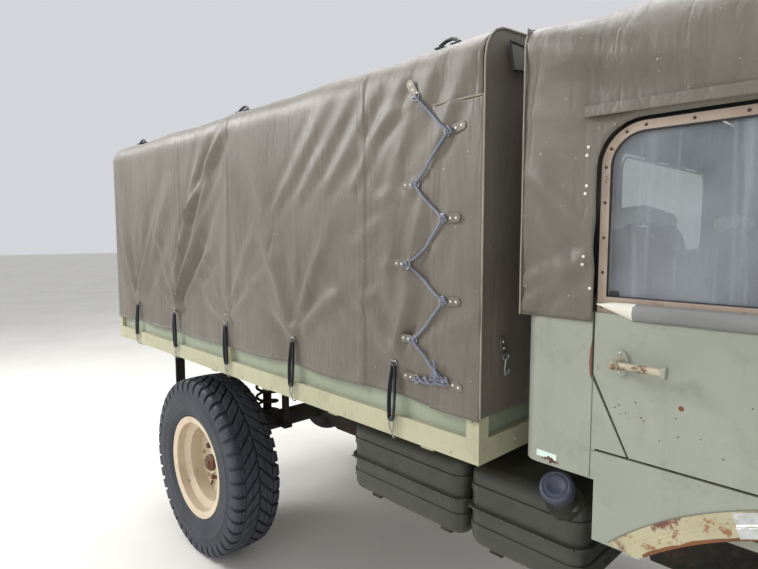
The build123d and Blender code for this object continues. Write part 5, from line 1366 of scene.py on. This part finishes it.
def door_marks(side):
    """Hinge screws, rust and the worn lever on the door, the arch's band, and the panel's seams."""
    name = SIDES[side]
    hinge_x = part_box(f"door_{name}")[1].x - 0.012
    face = side * CAB_HALF_W
    out = (0, side, 0)
    bits = Build()
    for z in (1.320, 1.500):
        for dx, dz in ((-0.012, 0.015), (-0.045, 0.015), (-0.012, 0.055), (-0.045, 0.055)):
            bits.dome((hinge_x + dx, face + side * 0.006, z + dz), out, 0.0055, 0.003, 10)
    x, z = LEVER
    for dz in (-0.022, 0.022):
        bits.dome((x, face + side * 0.006, z + dz), out, 0.004, 0.002, 10)
    bits.make(f"door_screws_{name}", "chrome", door_body(side))
    band, edge, rust = Build(), Build(), Build()
    arch_band(band, edge, rust, side)
    band.make(f"arch_band_{name}", "arch_paint", smooth=30)
    edge.make(f"arch_edge_{name}", "seam_shade")
    rust.make(f"arch_rust_{name}", "rusty")
    seams = Build()
    seam_x, wing_x = BED_FRONT + PANEL_SEAM_X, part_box(f"wing_{name}")[0].x
    seams.tube([(seam_x, face + side * 0.0003, z) for z in (1.449, 1.35, 1.199)], 0.0011, 6)
    seams.tube([(x, face + side * 0.0003, PANEL_SEAM_Z) for x in (seam_x, wing_x - 0.001)], 0.0011, 6)
    seams.make(f"panel_seams_{name}", "seam_shade")
    spots = Build()
    for k, (dx, z) in enumerate(RUST_SPOTS):
        r = 0.0062 if k == 0 else 0.0016 + 0.0016 * abs(drift(k * 1.7, 0.3, 0))
        spots.spot((BED_FRONT + dx, face - side * 0.0004, z), out, r, 0.9)
    spots.make(f"door_rust_{name}", "rust_spot", door_body(side))
    streak = Build()
    streak.rings([[(BED_FRONT + SEAM_RUST_X - back, face + side * y, z)
                   for back, y in ((w, 0.0001), (w * 0.4, 0.0011), (0, 0.0001))] for z, w in SEAM_RUST])
    streak.make(f"seam_rust_{name}", "rust_spot")
    sleeve = Build()
    x, z = LEVER
    y = face + side * 0.035
    sleeve.tube([(x, y, z), (BED_FRONT + 0.40, y, z + 0.0005), (LEVER_TIP - 0.010, y, z),
                 (LEVER_TIP - 0.003, y, z)], 0.0085, 14)
    rose = [(0, 0.0135), (0.004, 0.0128), (0.006, 0.0115), (0.034, 0.0115), (0.040, 0.009), (0.041, 0.001)]
    sleeve.turned((x, face + side * 0.0062, z), out, rose, 20)
    sleeve.make(f"door_lever_{name}", "lever_metal", door_body(side))
    if side < 0:
        right_panel_marks(face)


def right_panel_marks(face):
    """Tape over the arch's lip, and a blank plate with a stain, on the right alone."""
    tape = Build()
    rings = []
    for i in range(33):
        a = math.radians(113.8 - 12.5 * i / 32)
        ring = []
        for j in range(13):
            r = 0.744 + (arch_top(a) - 0.747) * j / 12
            rough = 0.0012 * drift(i * 0.9, j * 1.1, 2.0)
            ring.append(on_circle(ARCH, r, a, face - arch_height(r) - 0.0016 - rough))
        ring += [(x, y + 0.0012, z) for x, y, z in ring[::-1]]
        rings.append(ring)
    tape.rings(rings)
    tape.make("arch_tape", "patch_tape", smooth=60)
    sticker = Build()
    place = facing((BED_FRONT + 0.182, face - 0.0004, 1.220), (0, -1, 0), (1, 0, -0.03))
    sticker.plate(rounded(0.056, 0.016, 0.001), place, 0.0008, 0.0002)
    sticker.make("panel_sticker", "sticker")
    stain = Build()
    for dx, z, r in STAIN:
        stain.spot((BED_FRONT + dx, face - 0.0008, z), (0, -1, 0), r, 0.85)
    stain.make("panel_stain", "rust_spot")


# Tyres: the carcass as (distance from the middle, radius), and the tread's pattern
TYRE_WALL = (
    (0.104, 0.256), (0.111, 0.284), (0.117, 0.289), (0.1225, 0.296), (0.1215, 0.300), (0.123, 0.303),
    (0.1285, 0.314), (0.131, 0.328), (0.1322, 0.338), (0.1316, 0.341), (0.1326, 0.344), (0.1342, 0.362),
    (0.1345, 0.380), (0.1358, 0.383), (0.1356, 0.388), (0.1340, 0.391), (0.133, 0.410), (0.1295, 0.432),
    (0.122, 0.455), (0.108, 0.4705), (0.090, 0.477), (0.045, 0.4795), (0.0, 0.480))
TREAD_PITCHES = 42
BAR_SHARE = 0.76
BAR_TURN = ((0.005, 1.15), (0.041, 0.62), (0.079, 0.06))
SHOULDER_LUG = (
    (0.104, 0.4905), (0.114, 0.4875), (0.1255, 0.477), (0.1325, 0.458), (0.1352, 0.426),
    (0.128, 0.424), (0.124, 0.446), (0.114, 0.464), (0.104, 0.470))


# A shoulder lug along the tread, as (share of the pitch, inset), and how many of its points are outside
LUG_SHARES = ((0.02, 0.0022), (0.08, 0.0), (BAR_SHARE - 0.08, 0.0), (BAR_SHARE - 0.02, 0.0022))
LUG_FACE = 5


def tyre(end, hand):
    """Cross-country tyre: slanted bars that meet in the middle, each cut by fine grooves."""
    node = f"tyre_{end}_{hand}"
    low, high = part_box(node)
    middle = (low + high) / 2
    crown = (high.z - low.z) / 2
    half = (high.y - low.y) / 2
    pitch = 2 * math.pi / TREAD_PITCHES
    carcass, blocks = Build(), Build()

    def at(y, radius, angle):
        return middle + Vector((radius * math.cos(angle), y, radius * math.sin(angle)))

    def cell(y0, y1, angle0, angle1):
        """One block of a bar between two distances from the middle, with broken edges."""
        corners = [(y0, angle0), (y1, angle1), (y1, angle1 + BAR_SHARE * pitch),
                   (y0, angle0 + BAR_SHARE * pitch)]
        cy = sum(c[0] for c in corners) / 4
        ca = sum(c[1] for c in corners) / 4
        rings = []
        for drop, grow in ((0.0165, 1.05), (0.0022, 1.0), (0.0, 0.90)):
            ring = []
            for y, a in corners:
                yy, aa = cy + (y - cy) * grow, ca + (a - ca) * grow
                ring.append(at(yy, crown - 0.0045 * (abs(yy) / 0.102) ** 2 - drop, aa))
            rings.append(ring)
        blocks.rings(rings)

    profile = list(TYRE_WALL) + [(-y, r) for y, r in TYRE_WALL[-2::-1]]
    carcass.turned(middle, (0, 1, 0), profile, 120, caps=False)
    for i in range(TREAD_PITCHES):
        for side in SIDES:
            lead = i * pitch + (0.5 * pitch if side > 0 else 0.0)
            cell(side * 0.082, side * 0.102, lead, lead)
            for (ya, oa), (yb, ob) in zip(BAR_TURN, BAR_TURN[1:]):
                cell(side * (ya + 0.0015), side * (yb - 0.0015), lead + oa * pitch, lead + ob * pitch)
            rings = []
            for share, inset in LUG_SHARES:
                rings.append([at(side * min(y, half - 0.0002), r - (inset if k < LUG_FACE else 0),
                                 lead + share * pitch) for k, (y, r) in enumerate(SHOULDER_LUG)])
            blocks.rings(rings)
    for build, name, smooth in ((carcass, "carcass", 50), (blocks, "tread", 25)):
        piece = build.make(f"tyre_{name}_{end}_{hand}", "tyre_rubber", f"wheel_{end}_{hand}_body", smooth)
        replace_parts(piece, node)


# Turned details of the wheels, as (distance along the axis, radius)
WHEEL_NUT = [(0, 0.021), (0.004, 0.021), (0.005, 0.0165), (0.023, 0.0165), (0.026, 0.012)]
WHEEL_STUD = [(0, 0.0075), (0.010, 0.0075), (0.012, 0.006)]
HUB_NOSE = [(0, 0.0468), (0.018, 0.0470), (0.026, 0.0400), (0.0275, 0.0260), (0.036, 0.0245),
            (0.038, 0.020), (0.037, 0.009), (0.037, 0.001)]
NUTS, NUT_CIRCLE = 6, 0.1025
BOLTS, BOLT_CIRCLE = 8, 0.066
VALVE_ANGLE = 300
VALVE = ((0.196, -0.01), (0.192, 0.03), (0.186, 0.055))
SLOT_ANGLE, SLOT_CIRCLE = 244, 0.176


def wheel_details(end, hand, side):
    """Hub bolts, wheel nuts, hub nose, a valve, and the lipped slot, with a black plate in it as painted
    shade.
    """
    low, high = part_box(f"wheel_{end}_{hand}")
    centre = (low + high) / 2
    out = (0, side, 0)
    disc = centre.y - side * 0.018
    nuts, studs, nose, lip, dark = (Build() for _ in range(5))
    for i in range(NUTS):
        a = math.radians(360 / NUTS * i + 15)
        nuts.turned(on_circle(centre, NUT_CIRCLE, a, disc), out, WHEEL_NUT, 6)
        studs.turned(on_circle(centre, NUT_CIRCLE, a, disc + side * 0.015), out, WHEEL_STUD, 12)
    for i in range(BOLTS):
        a = math.radians(360 / BOLTS * i + 8)
        nuts.bolt(on_circle(centre, BOLT_CIRCLE, a, centre.y - side * 0.001), out, 0.0065, 0.006)
    a = math.radians(VALVE_ANGLE)
    studs.tube([on_circle(centre, r, a, disc + side * reach) for r, reach in VALVE], 0.004, 8)
    nose.turned((centre.x, centre.y + side * 0.012, centre.z), out, HUB_NOSE, 28)
    place = facing(on_circle(centre, SLOT_CIRCLE, math.radians(SLOT_ANGLE), centre.y - side * 0.0258), out,
                   (0.62, 0, 0.78))
    outline = rounded(0.066, 0.026, 0.0125, 5)
    lip.tube([place @ Vector((u, v, 0.0035)) for u, v in outline], 0.0036, 8, closed=True)
    # Painted shade: a black plate fills the slot where the shadow behind the disc would be seen.
    dark.plate(outline, place, 0.0012)
    for build, name, key in ((nuts, "wheel_nuts", "hub_rust"), (studs, "wheel_studs", "rusty"),
                             (nose, "hub_nose", "hub_rust"), (lip, "slot_lip", "rim_paint"),
                             (dark, "slot_painted_shade", "black_metal")):
        build.make(f"{name}_{end}_{hand}", key, f"wheel_{end}_{hand}_body")


# The cap's ribbed rim and ringed face, as (distance along its axis, radius)
CAP_PROFILE = [
    (0, 0.0440), (0.002, 0.0447), (0.022, 0.0447), (0.0262, 0.0430), (0.0285, 0.0395), (0.0290, 0.0370),
    (0.0278, 0.0355), (0.0278, 0.0300), (0.0288, 0.0290), (0.0288, 0.0215), (0.0280, 0.0205), (0.0280, 0.001)]
CAP_RIBS = 54
CAP_RIB = ((0.002, 0.0447), (0.020, 0.0447), (0.024, 0.0430))


def filler_cap():
    """Filler cap with a flat ringed face and fine ribs round its rim."""
    low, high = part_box("fuel_cap")
    up = Vector((0.1, -0.7, 0.7)).normalized()
    base = (low + high) / 2 - up * 0.0150
    first = up.orthogonal().normalized()
    second = up.cross(first)
    cap, ribs = Build(), Build()
    cap.turned(base, up, CAP_PROFILE, 48)
    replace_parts(cap.make("fuel_cap_body", "cap_plastic"), "fuel_cap")
    for a in around(CAP_RIBS):
        out = first * math.cos(a) + second * math.sin(a)
        ribs.tube([base + up * along + out * radius for along, radius in CAP_RIB], 0.0013, 6)
    ribs.make("fuel_cap_ribs", "cap_plastic")


# The two tanks' spans along X and the height of their seam
TANK_SPANS = ((-0.147, 0.393), (0.408, 0.791))
TANK_SEAM_Z = 0.937


def tank_details():
    """Rivets on the seams of both tanks."""
    rivets = Build()
    for x0, x1 in TANK_SPANS:
        for i in range(9):
            x = x0 + 0.02 + (x1 - x0 - 0.04) * i / 8
            rivets.dome((x, -0.9115, TANK_SEAM_Z + 0.001), (0, -0.2, 1), 0.0045, 0.003, 8)
    rivets.make("tank_rivets", "tank_paint")


# Places of the lamps; tail lamps as (Y, radius), turned forms as (distance along the axis, radius)
HEADLAMP_Y, HEADLAMP_Z = 0.8, 1.010
FLASHER_X = 2.028
TAIL_LAMP_Z = 0.692
TAIL_LAMPS = ((0.712, 0.024), (0.760, 0.020))
BEZEL = [(0, 0.0955), (0.016, 0.0975), (0.024, 0.0965), (0.031, 0.088), (0.029, 0.083)]
FLASHER = [(0, 0.033), (0.018, 0.0325), (0.026, 0.026), (0.030, 0.012), (0.0305, 0.001)]


def lamps():
    """Lenses and bezels of the headlamps, flashers and tail lamps."""
    bezels, lenses, amber, red = (Build() for _ in range(4))
    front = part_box("headlamps")[1]
    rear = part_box("rear_lamps")[0]
    bulge = [math.pi * k / 16 for k in range(8, -1, -1)]
    lens = [(0.0, 0.084)] + [(0.012 * math.cos(a), max(0.083 * math.sin(a), 0.001)) for a in bulge]
    for side in SIDES:
        centre = Vector((front.x, side * HEADLAMP_Y, HEADLAMP_Z))
        bezels.turned(centre - Vector((0.030, 0, 0)), (1, 0, 0), BEZEL, 48)
        lenses.turned(centre, (1, 0, 0), lens, 48)
        amber.turned((FLASHER_X, side * HEADLAMP_Y, front.z - 0.028), (0, 0, 1), FLASHER, 28)
        for y, r in TAIL_LAMPS:
            glass = [(0, r), (0.007, r), (0.010, r * 0.8), (0.011, 0.001)]
            red.turned((rear.x, side * y, TAIL_LAMP_Z), (-1, 0, 0), glass, 24)
    bezels.make("headlamp_bezels", "chrome")
    lenses.make("headlamp_lenses", "headlamp_glass")
    amber.make("flasher_lenses", "amber_lens")
    red.make("tail_lamp_lenses", "red_lens")


def mirror_glass():
    panes = Build()
    low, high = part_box("mirrors")
    for side in SIDES:
        place = facing((low.x + 0.039, side * (high.y - 0.0575), 1.775), (-1, 0, 0), (0, 0, 1))
        panes.plate(rounded(0.145, 0.095, 0.018), place, 0.003, 0.001)
    panes.make("mirror_glass", "mirror_glass")


RAIL_BOLT_Z = 1.158
GATE_LATCH = [(0, 0.018), (0.008, 0.018), (0.010, 0.012), (0.022, 0.011), (0.024, 0.008)]


def bed_hardware():
    """Bolts along the rail, the posts and the front sill, gate latches, and the gate's hinge bolts."""
    bolts, latches, gate = Build(), Build(), Build()
    for side in SIDES:
        y = side * BED_HALF_W
        for i in range(12):
            x = BED_REAR + 0.10 + (BED_LENGTH - 0.2) * i / 11
            bolts.dome((x, y, RAIL_BOLT_Z), (0, side, 0), 0.006, 0.003, 10)
        for z in (1.26, 1.40, 1.54):
            for x in (BED_FRONT - POST_INSET, BED_REAR + POST_INSET):
                bolts.dome((x, y, z), (0, side, 0), 0.007, 0.004, 10)
        for z in (1.34, 1.52):
            x, y = BED_REAR - 0.001, side * (BED_HALF_W - 0.023)
            latches.turned((x, y, z), (-1, 0, 0), GATE_LATCH, 16)
            latches.tube([(x - 0.016, y, z), (x - 0.017, y + side * 0.004, z - 0.03),
                          (x - 0.019, y + side * 0.006, z - 0.075)], 0.006, 10)
    for y in (-0.86, -0.43, 0.0, 0.43, 0.86):
        bolts.dome((BED_FRONT + 0.0005, y, 1.18), (1, 0, 0), 0.006, 0.003, 10)
    bolts.make("rail_bolts", "bed_paint")
    latches.make("gate_latches", "black_metal")
    for y in (-0.7, 0.0, 0.7):
        for z in (1.245, 1.275):
            for dy in (-0.03, 0.03):
                gate.bolt((BED_REAR - 0.0005, y + dy, z), (-1, 0, 0), 0.006, 0.005)
    gate.make("gate_hinge_bolts", "chrome", "tailgate_body")


def wipers_and_bonnet():
    """Wipers on the screen and the bonnet's catches."""
    arms, blades, catches = Build(), Build(), Build()
    low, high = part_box("windscreen_frame")
    slope = (high.x - low.x - 0.032) / (high.z - low.z)
    ahead = Vector((0.008, 0, 0))
    along = Vector((-slope * 0.9, -0.15, 0.9)).normalized() * 0.15
    for y in (-0.62, 0.26):
        foot = Vector((high.x - 0.012, y, low.z + 0.035))
        tip = foot + Vector((-slope * 0.20 + 0.012, 0.24, 0.20))
        pivot = [(0, 0.016), (0.014, 0.014), (0.020, 0.008)]
        arms.turned(foot - Vector((0.012, 0, 0)), (1, 0, 0.1), pivot, 16)
        arms.tube([foot + ahead, foot.lerp(tip, 0.5) + ahead, tip], 0.0035, 8)
        blades.tube([tip - along, tip + Vector((0.003, 0, 0)), tip + along], 0.0045, 8)
    arms.make("wiper_arms", "black_metal")
    blades.make("wiper_blades", "strap_rubber")
    for side in SIDES:
        x, y, z = NOSE_X - 0.13, side * 0.604, 1.262
        near, far = sorted((y, y + side * 0.012))
        catches.slab((x - 0.02, near, z - 0.035), (x + 0.02, far, z + 0.02))
        lever = ((0.014, 0.012), (0.020, -0.02), (0.012, -0.045))
        catches.tube([(x, y + side * out, z + up) for out, up in lever], 0.005, 8)
    catches.make("bonnet_catches", "black_metal", "bonnet_body")


# Seats: the gap between cushion and back, the back's lean, and the cloth simulation
SEAT_SPLIT_Z = 1.445
SEAT_LEAN = -0.115
SEAT_SWELL = 0.024
SEAT_INSET = 0.028
VOXEL = 0.016
CLOTH_FRAMES = 15


def stuffed(name, low, high, corner, lean, key):
    """A cushion blown up by a cloth simulation from a slightly smaller block."""
    low, high = Vector(low), Vector(high)
    form = bmesh.new()
    bmesh.ops.create_cube(form, size=1.0)
    size = high - low
    for v in form.verts:
        v.co = Vector((v.co.x * size.x, v.co.y * size.y, v.co.z * size.z)) + (low + high) / 2
    bmesh.ops.bevel(form, geom=list(form.edges), offset=corner, segments=3, affect="EDGES", profile=0.5)
    mesh = bpy.data.meshes.new(name)
    form.to_mesh(mesh)
    form.free()
    pad = bpy.data.objects.new(name, mesh)
    bpy.context.scene.collection.objects.link(pad)
    remesh = pad.modifiers.new("remesh", "REMESH")
    remesh.mode = "VOXEL"
    remesh.voxel_size = VOXEL
    bpy.context.view_layer.update()
    dense = bpy.data.meshes.new_from_object(pad.evaluated_get(bpy.context.evaluated_depsgraph_get()))
    pad.modifiers.clear()
    pad.data = dense
    start = [v.co.copy() for v in dense.vertices]
    cloth = pad.modifiers.new("cloth", "CLOTH")
    cloth.settings.use_pressure = True
    cloth.settings.uniform_pressure_force = 4.0
    cloth.settings.effector_weights.gravity = 0
    cloth.settings.quality = 4
    for step in range(1, CLOTH_FRAMES + 1):
        bpy.context.scene.frame_set(step)
    blown = pad.evaluated_get(bpy.context.evaluated_depsgraph_get()).data
    moved = [v.co.copy() for v in blown.vertices]
    pad.modifiers.clear()
    bpy.context.scene.frame_set(1)
    for v, a, b in zip(dense.vertices, start, moved):
        step = b - a
        v.co = a + step * min(1.0, SEAT_SWELL / max(step.length, 1e-6))
    for v in dense.vertices:
        v.co.x += lean * (v.co.z - low.z)
    smooth = pad.modifiers.new("smooth", "SUBSURF")
    smooth.levels = smooth.render_levels = 1
    dense.materials.clear()
    dense.materials.append(MATERIALS[key])
    dense.shade_smooth()
    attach(pad, ROOT)
    return pad


def seats():
    """Sprung seats with a separate cushion and back, and a roll on top."""
    for hand in SIDES.values():
        low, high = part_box(f"seat_{hand}")
        y0, y1 = low.y + SEAT_INSET, high.y - SEAT_INSET
        cushion = stuffed(f"seat_cushion_{hand}", (low.x + 0.085, y0, low.z + 0.004),
                          (high.x - 0.03, y1, SEAT_SPLIT_Z - 0.022), 0.028, 0.0, "seat_fabric")
        back = stuffed(f"seat_back_{hand}", (low.x + 0.060, y0, SEAT_SPLIT_Z + 0.006),
                       (low.x + 0.132, y1, high.z - 0.024), 0.024, SEAT_LEAN, "seat_red")
        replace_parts(cushion, f"seat_{hand}")
        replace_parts(back, f"seat_{hand}")
        head = Build()
        x = low.x + 0.096 + SEAT_LEAN * (high.z - SEAT_SPLIT_Z)
        head.tube([(x, y0 + 0.01, high.z - 0.03), (x, (y0 + y1) / 2, high.z - 0.012),
                   (x, y1 - 0.01, high.z - 0.03)], 0.030, 14)
        head.make(f"seat_top_roll_{hand}", "seat_cream")


def camera_and_light():
    """The photo's camera, solved from its lines, and a studio in place of the yard."""
    lens_px, photo_w = 551.28, 758
    yaw, pitch, roll = 0.807447, -0.087858, 0.00066
    data = bpy.data.cameras.new("camera")
    data.sensor_width = 36
    data.lens = lens_px / photo_w * data.sensor_width
    data.clip_end = 100
    camera = bpy.data.objects.new("camera", data)
    camera.location = (BED_FRONT + 0.876, -2.2588, 1.7797)
    camera.rotation_euler = (math.pi / 2 + pitch, roll, yaw)
    bpy.context.scene.collection.objects.link(camera)
    bpy.context.scene.camera = camera

    world = bpy.data.worlds.new("studio")
    bpy.context.scene.world = world
    world.use_nodes = True
    tree = world.node_tree
    background = tree.nodes["Background"]
    background.inputs["Color"].default_value = (0.93, 0.95, 1.0, 1)
    background.inputs["Strength"].default_value = 0.70

    # name, place, aim, size, watts
    lights = (
        ("sky_key", (-5.4, -4.5, 5.4), (-0.6, -0.8, 1.5), 2.4, 415),
        ("sky_top", (-1.5, 0.5, 7.5), (0, 0, 1.5), 5.0, 420),
        ("side_fill", (2.5, -7.0, 3.2), (-0.2, 0, 1.3), 5.0, 120),
    )
    for name, place, aim, size, watts in lights:
        lamp = bpy.data.lights.new(name, "AREA")
        lamp.size = size
        lamp.energy = watts
        holder = bpy.data.objects.new(name, lamp)
        holder.location = place
        holder.rotation_euler = (Vector(aim) - Vector(place)).to_track_quat("-Z", "Y").to_euler()
        bpy.context.scene.collection.objects.link(holder)


def floor():
    mesh = bpy.data.meshes.new("floor")
    mesh.from_pydata([(-60, -60, 0), (60, -60, 0), (60, 60, 0), (-60, 60, 0)], [], [(0, 1, 2, 3)])
    ground = bpy.data.objects.new("floor", mesh)
    bpy.context.scene.collection.objects.link(ground)
    s = Shade("floor", "#e4e1da", 0.9)
    s.blend(s.span(s.noise(0.8, 4), 0.35, 0.7), "#dbd8d0")
    s.bump(s.noise(60, 4), 0.002, 0.3)
    mesh.materials.append(s.done())


bpy.context.scene.view_settings.view_transform = "Standard"
camera_and_light()
floor()
dress_cad_nodes()
cargo_cover()
cargo_front()
cargo_curtain()
for side in SIDES:
    lacing(side)
    cover_straps(side)
front_wall_fittings()
cab_cover()
cab_back()
cab_canvas_trim()
for side in SIDES:
    window_trim(side)
    door_skirt(side)
    door_marks(side)
for end, hand, side in CORNERS:
    wheel_details(end, hand, side)
filler_cap()
for end, hand, side in CORNERS:
    tyre(end, hand)
tank_details()
lamps()
mirror_glass()
bed_hardware()
wipers_and_bonnet()
seats()
